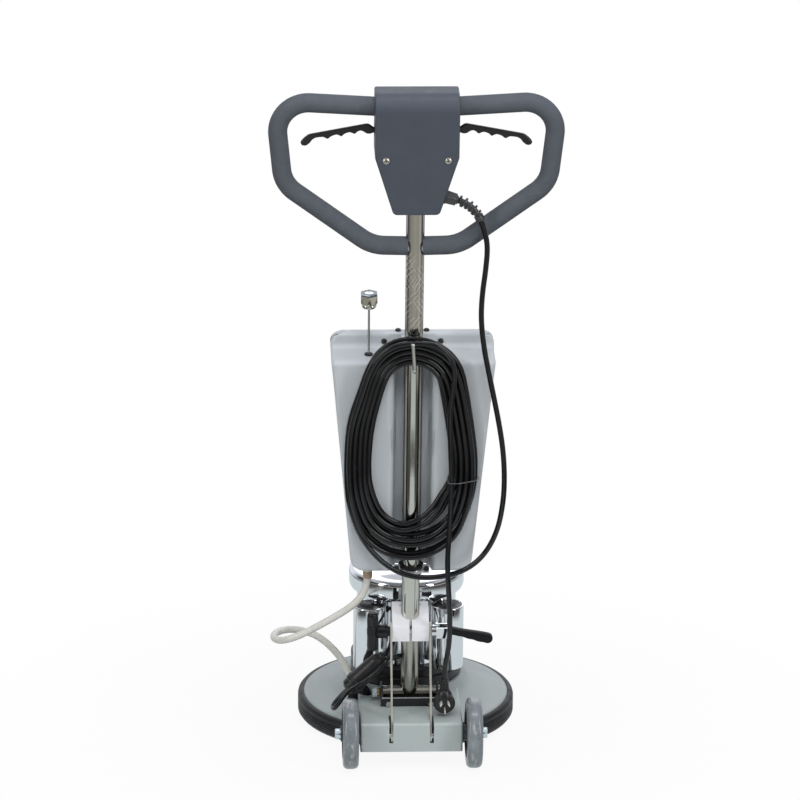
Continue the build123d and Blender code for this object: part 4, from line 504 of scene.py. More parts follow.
def skin(rings, looped=False):
    """Faces between rings of equal count."""
    sides = len(rings[0])
    count = len(rings)
    verts = [v for ring in rings for v in ring]
    faces = []
    for i in range(count if looped else count - 1):
        j = (i + 1) % count
        for k in range(sides):
            n = (k + 1) % sides
            faces.append((i * sides + k, i * sides + n, j * sides + n, j * sides + k))
    if not looped:
        faces.append(tuple(reversed(range(sides))))
        faces.append(tuple((count - 1) * sides + k for k in range(sides)))
    return verts, faces


def tube(name, line, radius, sides):
    """A closed tube along a line."""
    return add_mesh(name, *skin(tube_rings(line, radius, sides)), smooth=60.0)


def line_length(line):
    """Length of a line of points."""
    return sum((b - a).length for a, b in zip(line, line[1:]))


def rounded(points, radius, steps):
    """An outline with its corners rounded; a radius of 0 keeps a corner."""
    points = [Vector(p) for p in points]
    radii = radius if isinstance(radius, (list, tuple)) else [radius] * len(points)
    outline = []
    for index, (corner, size) in enumerate(zip(points, radii)):
        if size <= 0:
            outline.append(corner)
            continue
        before = points[index - 1] - corner
        after = points[(index + 1) % len(points)] - corner
        half = before.angle(after) / 2
        reach = min(size / math.tan(half), before.length * 0.499, after.length * 0.499)
        first = corner + before.normalized() * reach
        last = corner + after.normalized() * reach
        weight = math.sin(half)
        for k in range(steps + 1):
            t = k / steps
            b0, b1, b2 = (1 - t) ** 2, 2 * t * (1 - t) * weight, t**2
            outline.append((first * b0 + corner * b1 + last * b2) / (b0 + b1 + b2))
    return outline


def inset(outline, amount):
    """An outline moved inwards by an amount."""
    area = sum(a.x * b.y - b.x * a.y for a, b in zip(outline, outline[1:] + outline[:1]))
    turn = 1.0 if area > 0 else -1.0
    moved = []
    for index, place in enumerate(outline):
        a = (place - outline[index - 1]).normalized()
        b = (outline[(index + 1) % len(outline)] - place).normalized()
        mid = Vector((-a.y - b.y, a.x + b.x)) * turn
        moved.append(place + mid * (amount / max(mid.length_squared / 2, 0.5)))
    return moved


def plate(name, outline, thick, edge, place, steps, smooth=50.0, deep=None):
    """A plate with rounded edges; place turns (x, y, depth) in millimetres into a point."""
    deep = deep or edge
    rings = []
    for end in (1, -1):
        levels = []
        for k in range(steps + 1):
            angle = math.pi / 2 * k / steps
            levels.append((edge * (1 - math.sin(angle)), end * (thick / 2 - deep * (1 - math.cos(angle)))))
        for amount, depth in levels if end == 1 else reversed(levels):
            rings.append([place(p.x, p.y, depth) for p in inset(outline, amount)])
    return add_mesh(name, *skin(rings), smooth=smooth)


def lathe(name, profile, place, axis, sides, looped=False, smooth=40.0):
    """A turned form from (radius, height) pairs in millimetres."""
    axis = Vector(axis).normalized()
    side = axis.orthogonal().normalized()
    rings = []
    for radius, height in profile:
        centre = Vector(place) + axis * (height / 1000.0)
        rings.append(circle(centre, side, axis.cross(side), max(radius, 0.01) / 1000.0, sides))
    return add_mesh(name, *skin(rings, looped), smooth=smooth)


def turned(
    name, profile, place, axis, sides, body, slot_name, *replaced, look=None, looped=False, smooth=40.0
):
    """A turned piece, dressed."""
    made = lathe(name, profile, place, axis, sides, looped, smooth)
    return dress(made, body, slot_name, *replaced, look=look)


HEX_SIDES = 48


def hexagon(name, flats, place, axis, start=None):
    """A hexagonal form with turned edges: rows of (across-corner radius, limit radius, height)."""
    axis = Vector(axis).normalized()
    side = (Vector(start) if start else axis.orthogonal()).normalized()
    other = axis.cross(side)
    rings = []
    for corner, limit, height in flats:
        ring = []
        for k in range(HEX_SIDES):
            angle = 2 * math.pi * k / HEX_SIDES
            local = (angle + math.pi / 6) % (math.pi / 3) - math.pi / 6
            reach = min(corner * math.cos(math.pi / 6) / math.cos(abs(local) - math.pi / 6), limit)
            reach = max(reach, 0.01)
            place_on = (side * math.cos(angle) + other * math.sin(angle)) * (reach / 1000.0)
            ring.append(Vector(place) + axis * (height / 1000.0) + place_on)
        rings.append(ring)
    return add_mesh(name, *skin(rings), smooth=25.0)


def on_handle(side=1, w=0.0):
    """Where a plate's x, y and depth lie on the handle; side -1 mirrors it."""
    return lambda x, y, depth: hp(side * x, y, w + depth)


def on_axes(origin, across, along, out, lift=0.0):
    """Where a plate's x, y and depth lie along three directions."""
    return lambda x, y, depth: origin + (across * x + along * y + out * (depth + lift)) / 1000.0


def filled(line, step):
    """A line with points added about a step apart, without its last point."""
    points = []
    for a, b in zip(line, line[1:]):
        count = max(1, int((b - a).length / step))
        points += [a + (b - a) * (k / count) for k in range(count)]
    return points


def join(name, *parts):
    """Several new meshes as one piece."""
    bm = bmesh.new()
    for part in parts:
        bm.from_mesh(part.data)
        mesh = part.data
        bpy.data.objects.remove(part)
        bpy.data.meshes.remove(mesh)
    return finish_mesh(name, bpy.data.meshes.new(name), bm, 40.0)


# Mains cord: one line from the gland, down and under the coil, round its loops and down to the plug
CORD_RADIUS = 0.0048
GLAND_W = -27.0
BOX_CORNER, BOX_SHOULDER = Vector((39.5, 942.5)), Vector((72.0, 1046.0))
slant = (BOX_SHOULDER - BOX_CORNER).normalized()
gland_out = Vector((slant.y, -slant.x))
gland_foot = BOX_CORNER + slant * 31.5 + gland_out * 0.1
relief_start = gland_foot + gland_out * 24.0
relief_end = gland_foot + Vector((61.5, -43.65))
chord = relief_end - relief_start
relief_out = (chord * (2 * gland_out.dot(chord) / chord.length_squared) - gland_out).normalized()
lead_first = relief_end + relief_out * 24.0

COIL_X, COIL_HALF, COIL_TOP, COIL_BOTTOM, COIL_WAIST = -3.5, 113.5, 708.0, 281.0, 461.0
SIDE_PITCH, BOTTOM_PITCH, TURNS_IN, QUARTERS = 10.2, 17.0, 4.5, 37
LAYER_W, LAYER_PITCH = -21.4, 10.4
TOP_CROWN, BOTTOM_CROWN, TOP_RUN, BOTTOM_RUN = 96.0, 100.0, 0.79, 0.71
ARC_POINTS = 3


def coil_depth(quarter):
    """How many pitches the coil has moved in from its outermost loop."""
    turns_in = 4 * TURNS_IN
    if quarter <= turns_in:
        return quarter / 4
    if quarter <= turns_in + 2:
        return TURNS_IN
    return TURNS_IN - (quarter - turns_in - 2) / 4


def coil_knot(quarter):
    """Place and direction of the coil at a quarter turn, in the handle's millimetres."""
    depth = coil_depth(quarter)
    climb = unit((quarter - 4 * TURNS_IN) / 2)
    if quarter == QUARTERS:
        climb = 2.0
    w = LAYER_W - LAYER_PITCH * climb
    side = COIL_HALF - SIDE_PITCH * depth
    place = quarter % 4
    if place == 0:
        return Vector((COIL_X - side, COIL_WAIST, w)), Vector((0, 1, 0))
    if place == 1:
        return Vector((COIL_X, COIL_TOP - SIDE_PITCH * depth, w)), Vector((1, 0, 0))
    if place == 2:
        return Vector((COIL_X + side, COIL_WAIST, w)), Vector((0, -1, 0))
    return Vector((COIL_X, COIL_BOTTOM + BOTTOM_PITCH * depth, w)), Vector((-1, 0, 0))


def crown_run(quarter):
    """Tangent length at a loop's top or bottom."""
    moved_in = SIDE_PITCH * coil_depth(quarter)
    if quarter % 4 == 1:
        return TOP_RUN * (TOP_CROWN - moved_in)
    return BOTTOM_RUN * (BOTTOM_CROWN - moved_in)


def coil_controls(quarter):
    """Control points of one quarter of a loop, on the corners of its tangent lines."""
    start, leave = coil_knot(quarter)
    end, arrive = coil_knot(quarter + 1)
    span = end - start
    spread = 1 - leave.dot(arrive)
    if quarter % 2 == 0:
        last = crown_run(quarter + 1)
        first = (span.dot(span) - 2 * last * span.dot(arrive)) / (2 * (span.dot(leave) + last * spread))
    else:
        first = crown_run(quarter)
        last = (span.dot(span) - 2 * first * span.dot(leave)) / (2 * (span.dot(arrive) + first * spread))
    near, far = start + leave * first, end - arrive * last
    joint = near + (far - near) * (first / (first + last))
    controls = []
    for a, corner, b in ((start, near, joint), (joint, far, end)):
        half = math.acos(max(-1.0, min(1.0, (corner - a).normalized().dot((b - corner).normalized())))) / 2
        weight = math.cos(half)
        points = []
        for k in range(ARC_POINTS):
            t = (k + 0.5) / ARC_POINTS
            b0, b1, b2 = (1 - t) ** 2, 2 * t * (1 - t) * weight, t**2
            points.append((a * b0 + corner * b1 + b * b2) / (b0 + b1 + b2))
        bulge = 1 / math.cos(half / ARC_POINTS)
        chord_mid = (a + b) / 2
        radius = (b - a).length / 2 / max(math.sin(half), 1e-6)
        inward = (chord_mid - corner).normalized()
        centre = corner + inward * (radius / max(math.cos(half), 1e-6))
        controls += [centre + (p - centre) * bulge for p in points]
    return controls


# How the turns lie: how far each sags or rides up at the bottom, how the left side spreads at its
# waist and is pushed in at its shoulder, how the right side bows, and the slack in the inner turns
LOOSE = {3: -3.0, 7: -4.0, 11: 1.0, 15: -7.0, 19: -12.0, 23: -6.0, 27: -7.0, 31: 0.5, 35: -7.0}
WAIST_SPREAD, INNER_SPREAD, SHOULDER_PUSH, RIGHT_BOW = 1.15, 1.2, 14.0, 6.0
SLACK_IN, SLACK_UP = 14.0, 5.0
# Where up the handle each of these is greatest, and how far it reaches
WAIST_AT, SHOULDER_AT, BOW_AT, SLACK_AT = (480.0, 190.0), (655.0, 85.0), (425.0, 130.0), (372.0, 62.0)
SAG_FROM, SAG_OVER, SHOULDER_OUT, INNER_FROM = 430.0, 120.0, 95.0, 3.0
coil_points = []
for quarter in range(QUARTERS):
    for point in coil_controls(quarter):
        bottom = quarter + 1 if quarter % 4 == 2 else quarter
        if bottom % 4 == 3:
            low_down = unit((SAG_FROM - point.y) / SAG_OVER)
            point.y += LOOSE.get(bottom, 0.0) * low_down**2 * (3 - 2 * low_down)
        if point.x < COIL_X:
            deep = min(max((point.x - (COIL_X - COIL_HALF)) / SIDE_PITCH, 0.0), TURNS_IN)
            spread = WAIST_SPREAD * deep + INNER_SPREAD * max(deep - INNER_FROM, 0.0)
            point.x -= spread * hump(point.y, *WAIST_AT)
            out = min((COIL_X - point.x) / SHOULDER_OUT, 1.0)
            point.x += SHOULDER_PUSH * hump(point.y, *SHOULDER_AT) * out**2
        else:
            point.x += RIGHT_BOW * hump(point.y, *BOW_AT)
            if quarter % 4 == 2:
                slack = unit(coil_depth(quarter) - INNER_FROM)
                corner = hump(point.y, *SLACK_AT)
                point.x -= SLACK_IN * slack * corner
                point.y += SLACK_UP * slack * corner
        coil_points.append(point)
coil_end = coil_knot(QUARTERS)[0]
TAIL_W = LAYER_W - 2 * LAYER_PITCH
PLUG = (60.0, -229.0, 117.0)
LEAD_ROUTE = [
    (relief_end.x, relief_end.y, GLAND_W), (lead_first.x, lead_first.y, GLAND_W), (124.0, 879, -27.5),
    (121.5, 839, -28.5), (115.8, 791, -30), (114.5, 745, -32), (121.0, 690, -35), (134.5, 625, -38),
    (148.5, 558, -41), (158.0, 500, -42.5), (161.5, 445, -43), (160.0, 398, -42.5), (151.0, 341, -41),
    (128.0, 292, -38.5), (94.0, 261.5, -36.5), (51.0, 249, -35), (13.0, 247, -33.5), (-23.0, 256.5, -32),
    (-58.0, 281, -30.5), (-91.0, 324.5, -28.5), (-111.5, 382, -24.5), (COIL_X - COIL_HALF, 428, LAYER_W),
]
tail_route = [
    hp(coil_end.x + 24.0, coil_end.y, TAIL_W), hp(42.7, 699.0, TAIL_W), hp(60.0, 682.0, TAIL_W),
    hp(69.0, 660.0, TAIL_W), hp(69.5, 627.0, TAIL_W), hp(63.0, 580.0, TAIL_W),
    hp(64.5, 515.0, TAIL_W - 0.5), hp(68.5, 445.0, TAIL_W), hp(67.5, 385.0, TAIL_W + 0.5),
    hp(65.0, 330.0, TAIL_W), hp(62.5, 285.0, TAIL_W - 4.0), mm(64.5, -232.5, 345.0),
    mm(67.5, -230.5, 300.0), mm(69.0, -229.4, 255.0), mm(66.5, -229.0, 215.0),
    mm(PLUG[0], PLUG[1], 184.0), mm(PLUG[0], PLUG[1], 162.0),
]
cord_route = [hp(*p) for p in LEAD_ROUTE + coil_points] + tail_route
cord_line = spline_points("cord_line", cord_route, 9)

# Handle loop: foam grips on each side, from the tube round to the control box
GRIP_RADIUS = 0.0165
GRIP_ROUTE = [(13.0, 871.5), (75.0, 873.0), (228.0, 987.0), (243.0, 1137.0), (72.2, 1127.0)]
GRIP_BENDS = [0, 70.0, 58.0, 52.0, 0]
for side, word in SIDES:
    line = [hp(side * p.x, p.y, 0) for p in rounded(GRIP_ROUTE, GRIP_BENDS, steps=16)]
    grip = tube(f"grip_foam_{word}", line, GRIP_RADIUS, 48)
    dress(grip, "handle", "slate_foam", f"grip_{word}")

# Finger levers: slim rounded blades with a scalloped underside, a hump at the root and a drooping tip
LEVER_EDGE = [
    (62.0, 1088.0), (74.0, 1089.7), (77.5, 1092.2), (81.0, 1095.0), (84.6, 1096.0), (90.0, 1095.2),
    (182.0, 1077.6), (186.6, 1075.4), (191.8, 1071.2), (197.0, 1065.6), (198.6, 1061.6), (196.2, 1057.4),
    (191.2, 1056.2), (186.8, 1057.7), (182.2, 1061.6), (178.0, 1067.4), (172.8, 1070.6), (166.0, 1071.8),
    (159.9, 1072.2), (156.5, 1070.8), (153.1, 1068.6), (149.6, 1070.0), (146.2, 1073.0), (141.5, 1075.2),
    (136.7, 1076.4), (133.0, 1075.2), (129.0, 1073.0), (126.4, 1074.4), (123.8, 1077.2), (119.0, 1079.5),
    (114.4, 1080.5), (110.6, 1079.4), (106.7, 1077.3), (104.0, 1078.6), (101.5, 1081.2), (98.5, 1082.9),
    (95.5, 1083.5), (92.1, 1082.4), (88.7, 1080.2), (85.3, 1078.1), (80.2, 1077.6), (74.2, 1079.6),
    (62.0, 1080.0),
]
lever_outline = rounded(LEVER_EDGE, 2.0, 2)
for side, word in SIDES:
    place = on_handle(side)
    blade = plate(f"lever_blade_{word}", lever_outline, 9.0, 2.4, place, steps=6, deep=4.2, smooth=60.0)
    dress(blade, f"lever_{word[0]}", "gloss_black", f"{word}_lever", look="lever_black")

# Control box screws, each with a dark cross on its head, painted shade standing in for its crossed recess,
# and what else the fasteners' node holds
BOX_REAR = -40.0
PIN = [(0, 0), (2.6, 0), (3.0, 0.5), (3.0, 63.3), (2.6, 63.8), (0, 63.8)]
SCREW_HEAD, SCREW_HEIGHT, RECESS_TURN = 4.7, 3.4, 0.5


def cross_screw(name, place, across, up, out):
    """A round-headed screw on its washer, with a dark cross on its head: painted shade where its crossed
    recess would be.
    """
    flat = [(0, 0), (6.2, 0), (6.3, 0.3), (6.2, 1.1), (5.8, 1.3), (0, 1.3)]
    dome = [(0, 1.2), (SCREW_HEAD, 1.2), (SCREW_HEAD, 2.4)]
    dome += [(SCREW_HEAD - 1.6, SCREW_HEIGHT), (0, SCREW_HEIGHT)]
    washer = lathe(name + "_washer", flat, place, out, 40)
    cap = lathe(name + "_head", rounded(dome, [0, 0, 0.6, 1.6, 0], 4), place, out, 40)
    metal = join(name, washer, cap)
    # The dark cross: painted shade, a thin dark slab on the head
    outline = rounded([(-2.4, -0.55), (2.4, -0.55), (2.4, 0.55), (-2.4, 0.55)], 0.4, 3)
    top = Vector(place) + Vector(out) * ((SCREW_HEIGHT + 0.06) / 1000.0)
    arms = []
    for turn in (RECESS_TURN, math.pi / 2 + RECESS_TURN):
        a = across * math.cos(turn) + up * math.sin(turn)
        b = across * -math.sin(turn) + up * math.cos(turn)
        frame_of = on_axes(top, a, b, Vector(out), lift=-0.2)
        arms.append(plate(f"{name}_arm_{len(arms)}", outline, 0.5, 0.12, frame_of, steps=2))
    return metal, join(name + "_recess_shade", *arms)


for side, word in SIDES:
    screw_at = hp(side * 53.0, 1043.0, BOX_REAR - 0.05)
    metal, recess_shade = cross_screw(f"box_screw_{word}", screw_at, RIGHT, UP, -FORWARD)
    dress(metal, "handle", "zinc", "handle_fasteners", look="screw_zinc")
    dress(recess_shade, "handle", "zinc", "handle_fasteners", look="recess_painted_shade")
    pin_foot = hp(side * 52.0, 1087.0, -36.9)
    turned(f"lever_pin_{word}", PIN, pin_foot, FORWARD, 24, "handle", "zinc", "handle_fasteners")

DOME = [(0, 0), (5.2, 0), (5.2, 1.6), (4.6, 2.9), (3.2, 3.9), (1.6, 4.4), (0, 4.5)]
bolt_places = []
for side in (-1, 1):
    bolt_places.append((hp(side * 31.0, 669.0, 51.8), -FORWARD))
    bolt_places.append((hp(side * 50.0, 669.0, 55.0), -FORWARD))
    bolt_places.append((hp(side * 25.0, TANK_TOP, 65.0), UP))
    bolt_places.append((hp(side * 27.0, 257.0, -16.2), -FORWARD))
bolts = [lathe(f"tank_bolt_{k}", DOME, at, out, 28) for k, (at, out) in enumerate(bolt_places)]
tank_bolts = join("tank_bolts", *bolts)
dress(tank_bolts, "handle", "zinc", "handle_fasteners", look="black_paint")
turned(
    "rod_grommet",
    [(2.3, 0), (7.4, 0), (7.8, 1.2), (7.0, 2.8), (4.2, 3.4), (2.3, 3.0)],
    hp(ROD_X, TANK_LEDGE, VALVE_W), UP, 40,
    "handle", "zinc", "handle_fasteners", look="bush_rubber", looped=True,
)

# Tank: one blow-moulded shell with soft edges, a ledge at its rear top and a groove for the tube
TANK_REAR, TANK_STEP, TANK_SLOPE, TANK_FRONT, SLOPE_END = -12.0, 55.0, 72.0, 128.0, 629.0
TANK_LOW_HALF, TANK_HIGH_HALF, TANK_CORNER, TANK_RIM = 106.8, 146.5, 24.0, 7.0
GROOVE_HALF, GROOVE_FLOOR, GROOVE_BLEND = 30.0, 26.0, 9.0
TANK_STEPS, RIM_STEPS, TANK_COLUMNS = 7.0, 6, 44


def tank_half(d):
    """Half the tank's width at a height, with its corners rounded as seen from behind."""
    wide = TANK_LOW_HALF + (TANK_HIGH_HALF - TANK_LOW_HALF) * (d - TANK_BOTTOM) / (TANK_TOP - TANK_BOTTOM)
    near = min(d - TANK_BOTTOM, TANK_TOP - d)
    if near < TANK_CORNER:
        near = max(near, 0.0)
        wide -= TANK_CORNER - math.sqrt(TANK_CORNER**2 - (TANK_CORNER - near) ** 2)
    return wide


section = rounded(
    [
        (TANK_REAR, TANK_BOTTOM), (TANK_REAR, TANK_LEDGE), (TANK_STEP, TANK_LEDGE),
        (TANK_STEP, TANK_TOP), (TANK_SLOPE, TANK_TOP), (TANK_FRONT, SLOPE_END),
        (TANK_FRONT, TANK_BOTTOM),
    ],
    [11.0, 9.0, 10.0, 8.0, 8.0, 14.0, 12.0],
    steps=8,
)
dense = filled(section + section[:1], TANK_STEPS)
columns = []
for k in range(RIM_STEPS + 1):
    angle = math.pi / 2 * k / RIM_STEPS
    columns.append((TANK_RIM * (1 - math.sin(angle)), TANK_RIM * (1 - math.cos(angle))))
side_columns = [(reach, inset(dense, drop)) for reach, drop in reversed(columns)]
tank_rings = [(-1, reach, ring) for reach, ring in side_columns]
tank_rings += [(0, k / TANK_COLUMNS, dense) for k in range(1, TANK_COLUMNS)]
tank_rings += [(1, reach, ring) for reach, ring in reversed(side_columns)]
rows = []
for kind, value, ring in tank_rings:
    row = []
    for place, full in zip(ring, dense):
        w, d = place.x, place.y
        half = tank_half(min(max(full.y, TANK_BOTTOM), TANK_TOP))
        if kind:
            x = kind * (half - value)
        else:
            x = (2 * value - 1) * (half - TANK_RIM)
        if w < GROOVE_FLOOR and d < TANK_LEDGE + 6.0:
            hollow = 1 - smooth_step(abs(x), GROOVE_HALF - 2.0, GROOVE_HALF + GROOVE_BLEND)
            w = w + (GROOVE_FLOOR - w) * hollow
        row.append(hp(x, d, w))
    rows.append(row)
tank_shell = add_mesh("tank_shell", *skin(rows), smooth=70.0)
dress(tank_shell, "handle", "tank_plastic", "tank")

# Valve: a thin rod with a chromed hexagonal knob on a round collar. The knob's top rim is dark metal, a
# painted reflection standing in for the dark that its chrome edge mirrors
turned(
    "valve_stem",
    [(0, 0), (9.0, 0), (9.0, 8.0), (8.0, 10.0), (2.0, 10.5), (2.0, 498.0), (0, 498.0)],
    hp(ROD_X, TANK_BOTTOM + 4.1, VALVE_W), UP, 32,
    "valve", "chrome", "valve_rod", look="steel",
)
KNOB_FOOT = hp(ROD_X, 748.0, VALVE_W)
knob = hexagon(
    "valve_knob",
    [
        (0, 99, 0.0), (30, 10.8, 0.0), (30, 12.8, 1.4), (30, 13.3, 3.0), (30, 13.3, 5.4),
        (30, 12.9, 6.2), (16.6, 13.3, 6.6), (16.6, 15.0, 9.0), (16.6, 99, 12.0), (16.6, 99, 24.2),
        (0, 99, 24.2),
    ],
    KNOB_FOOT, UP, start=-FORWARD,
)
dress(knob, "valve", "chrome", "valve_rod", look="knob_satin")
# Painted reflection: the top rim is dark metal where the chrome would mirror dark surroundings
knob_rim = hexagon(
    "valve_knob_rim",
    [
        (0, 99, 24.1), (16.5, 99, 24.1), (16.1, 99, 26.6), (15.0, 99, 28.0), (30, 8.4, 28.1),
        (30, 8.0, 27.3), (0, 99, 27.3),
    ],
    KNOB_FOOT, UP, start=-FORWARD,
)
dress(knob_rim, "valve", "chrome", "valve_rod", look="knob_rim_painted_dark")
turned(
    "valve_knob_disc",
    [(0, 26.8), (8.0, 26.8), (8.0, 27.4), (7.4, 27.7), (2.6, 27.7), (2.2, 27.5), (0, 27.5)],
    KNOB_FOOT, UP, 48, "valve", "chrome", "valve_rod",
)

# Hose collar at the outlet
turned(
    "hose_collar",
    [(6.6, 0), (8.2, 0), (8.6, 1.0), (8.6, 10.5), (8.0, 11.6), (6.6, 12.0)],
    hp(VALVE_X, TANK_BOTTOM - 24.0, VALVE_W), UP, 40,
    "handle", "brass", look="collar_brown", looped=True,
)

# Cable gland: nut on the box, dome nut and a spiral bend relief along the cord
gland_axis = (RIGHT * gland_out.x + UP * gland_out.y).normalized()
gland_at = hp(gland_foot.x, gland_foot.y, GLAND_W)
nut = hexagon(
    "gland_nut",
    [
        (0, 99, 0), (30, 12.6, 0), (30, 12.6, 2.2), (30, 11.6, 2.6), (13.0, 11.6, 3.0), (13.0, 99, 4.2),
        (12.2, 99, 17.5), (12.2, 10.8, 19.6), (30, 9.6, 20.2), (30, 7.6, 20.6), (30, 7.4, 23.0),
        (0, 99, 24.0),
    ],
    gland_at, gland_axis,
)
bow = chord.length / (2 * gland_out.dot(chord.normalized()))
relief_corner = relief_start + gland_out * bow
relief_route = [hp(p.x, p.y, GLAND_W) for p in (relief_start, relief_corner, relief_end)]
relief_line = spline_points("relief_line", relief_route, 160)
SPIRAL_TURNS, SPIRAL_END, RELIEF_SIDES = 4.6, 0.80, 36
RELIEF_CORE, RELIEF_RIDGE, RELIEF_COLLAR, RELIEF_TAPER = 5.3, 4.6, 8.2, 1.2
relief_rings = tube_rings(relief_line, 1.0, RELIEF_SIDES)
for k, (centre, ring) in enumerate(zip(relief_line, relief_rings)):
    t = k / (len(relief_line) - 1)
    for n in range(RELIEF_SIDES):
        wave = (t / SPIRAL_END * SPIRAL_TURNS + n / RELIEF_SIDES) % 1.0
        ridge = smooth_step(wave, 0.10, 0.24) * (1 - smooth_step(wave, 0.52, 0.66))
        ridge *= smooth_step(t, 0.0, 0.03) * (1 - smooth_step(t, SPIRAL_END - 0.03, SPIRAL_END))
        size = RELIEF_CORE + (RELIEF_RIDGE - RELIEF_TAPER * t) * ridge
        collar = smooth_step(t, SPIRAL_END + 0.005, SPIRAL_END + 0.025)
        size += (RELIEF_COLLAR - size) * collar - RELIEF_TAPER * smooth_step(t, 0.975, 1.0)
        ring[n] = centre + (ring[n] - centre) * (size / 1000.0)
relief = add_mesh("gland_relief", *skin(relief_rings), smooth=60.0)
gland = join("gland_body", nut, relief)
dress(gland, "handle", "black_plastic", "cable_gland", look="gland_nylon")

# Plug: a moulded body with a cone into its ribbed relief, and three metal blades
REARWARD = Vector((0, -1, 0))
plug_at = mm(*PLUG)
face = rounded(
    [(0, 12), (18.9, 12), (19.4, 4), (18.6, -5), (12.5, -12), (0, -12)], [0, 2.2, 6.0, 8.0, 4.0, 0], 5
)
plug_face = lathe("plug_face", face, plug_at, REARWARD, 64)
cone = [(0, 6), (15.5, 6), (15.0, 12), (13.4, 17), (11.2, 21), (9.4, 23.4)]
for ring in range(5):
    low = 24.2 + 4.2 * ring
    size = 8.9 - 0.42 * ring
    cone += [(size - 1.3, low), (size, low + 0.7), (size, low + 2.3), (size - 1.3, low + 3.0)]
cone += [(6.0, 44.9), (0, 45.0)]
plug_cone = lathe("plug_cone", cone, plug_at, Z_AXIS, 48)
rim_line = [(17.2, 12.0), (17.0, 12.5), (15.6, 12.5), (15.2, 12.0)]
plug_rim = lathe("plug_rim", rim_line, plug_at, REARWARD, 64, looped=True)
plug_body = join("plug_body", plug_face, plug_cone, plug_rim)
dress(plug_body, "chassis", "black_plastic", "plug")
blades = []
blade_outline = rounded([(-1.0, 0), (1.0, 0), (1.0, 17.0), (-1.0, 17.0)], [0, 0, 0.5, 0.5], 3)
for x, z, turn in ((-7.0, 4.0, -30.0), (7.0, 4.0, 30.0), (0.0, -9.5, 0.0)):
    lean = math.radians(turn)
    long_way = Vector((math.cos(lean), 0, math.sin(lean)))
    tall_way = Vector((-math.sin(lean), 0, math.cos(lean)))
    root = mm(PLUG[0] + x, PLUG[1] - 12.0, PLUG[2] + z)
    frame_of = on_axes(root, long_way, REARWARD, tall_way)
    blades.append(plate(f"blade_{len(blades)}", blade_outline, 6.4, 0.35, frame_of, steps=2))
plug_blades = join("plug_blades", *blades)
dress(plug_blades, "chassis", "black_plastic", "plug", look="blade_metal")

# Tee knob on the clamp bolt
BOLT_D, BOLT_W = 135.4, -23.0
hub = lathe(
    "knob_hub",
    [
        (4.2, 37.3), (8.6, 37.3), (9.2, 38.0), (9.2, 41.0), (10.4, 41.6), (12.2, 42.4), (12.5, 43.2),
        (12.5, 58.0), (11.5, 61.0), (4.2, 61.0),
    ],
    hp(0, BOLT_D, BOLT_W), -RIGHT, 56, looped=True,
)
BAR_SIDES, BAR_AT = 72, hp(-68.5, BOLT_D, BOLT_W)
bar_side = rounded(
    [
        (0, -37.5), (8.8, -37.5), (10.2, -30.0), (9.9, -9.0), (9.9, 9.0),
        (10.5, 22.0), (10.2, 31.0), (8.6, 37.5), (0, 37.5),
    ],
    [0, 5.0, 8.0, 4.0, 4.0, 20.0, 8.0, 6.5, 0],
    6,
)
bar_line = filled(bar_side, 1.0) + bar_side[-1:]
bar_rings = []
for p in bar_line:
    flute = smooth_step(p.y, 8.0, 14.0) * (1 - smooth_step(p.y, 26.0, 31.5))
    band = smooth_step(abs(p.y - 32.2), 0.3, 0.8) - 1
    ring = []
    for k in range(BAR_SIDES):
        angle = math.tau * k / BAR_SIDES
        turn_from_rear = abs((angle + math.pi) % math.tau - math.pi)
        dish = smooth_step(turn_from_rear, 0.10, 0.42) * (1 - smooth_step(turn_from_rear, 0.72, 1.15))
        size = max(p.x - 1.7 * flute * dish + 0.35 * band, 0.01)
        out = -FORWARD * math.cos(angle) + RIGHT * math.sin(angle)
        ring.append(BAR_AT + (UP * p.y + out * size) / 1000.0)
    bar_rings.append(ring)
knob_bar = add_mesh("knob_bar", *skin(bar_rings), smooth=50.0)
belts = []
for level in (-4.6, 0.0, 4.6):
    belt = [(9.4, level - 1.7), (10.6, level - 1.2), (10.6, level + 1.2), (9.4, level + 1.7)]
    belts.append(lathe(f"knob_belt_{len(belts)}", belt, BAR_AT, UP, 56, looped=True))
lug_outline = rounded([(-1.6, -6.2), (1.6, -6.2), (1.6, 6.2), (-1.6, 6.2)], 0.9, 4)
for angle in (-50.0, -18.0, 18.0, 50.0):
    lean = math.radians(angle)
    out = -FORWARD * math.cos(lean) + RIGHT * math.sin(lean)
    frame_of = on_axes(BAR_AT + out * 0.0098, UP.cross(out), UP, out)
    belts.append(plate(f"knob_lug_{len(belts)}", lug_outline, 2.6, 0.6, frame_of, steps=3))
tee = join("tee_handle", hub, knob_bar, *belts)
dress(tee, "knob", "gloss_black", "tee_knob", look="tee_black")

# Cam lever: a paddle with a rippled underside, from its eye to its round tip
eye, tip = Vector((60.0, 139.4)), Vector((139.0, 120.4))
EYE_RADIUS, TIP_RADIUS, CAM_STEPS, RIPPLES = 7.4, 9.0, 24, 4.0
along = (tip - eye).normalized()
across_lever = Vector((-along.y, along.x))
upper, lower = [], []
for k in range(CAM_STEPS + 1):
    t = k / CAM_STEPS
    reach = (tip - eye).length * t
    half = EYE_RADIUS - 1.0 * smooth_step(t, 0.0, 0.28) + 2.6 * smooth_step(t, 0.3, 0.95)
    wave = 0.5 * math.sin(math.pi * 2 * (t * RIPPLES)) * smooth_step(t, 0.25, 0.4)
    upper.append(eye + along * reach + across_lever * half)
    lower.append(eye + along * reach - across_lever * (half + wave))
ends_out, ends_in = [], []
for k in range(1, 10):
    angle = math.pi * k / 10
    beside, beyond = math.cos(angle), math.sin(angle)
    ends_out.append(tip + across_lever * (TIP_RADIUS * beside) + along * (TIP_RADIUS * beyond))
    ends_in.append(eye - across_lever * (EYE_RADIUS * beside) - along * (EYE_RADIUS * beyond))
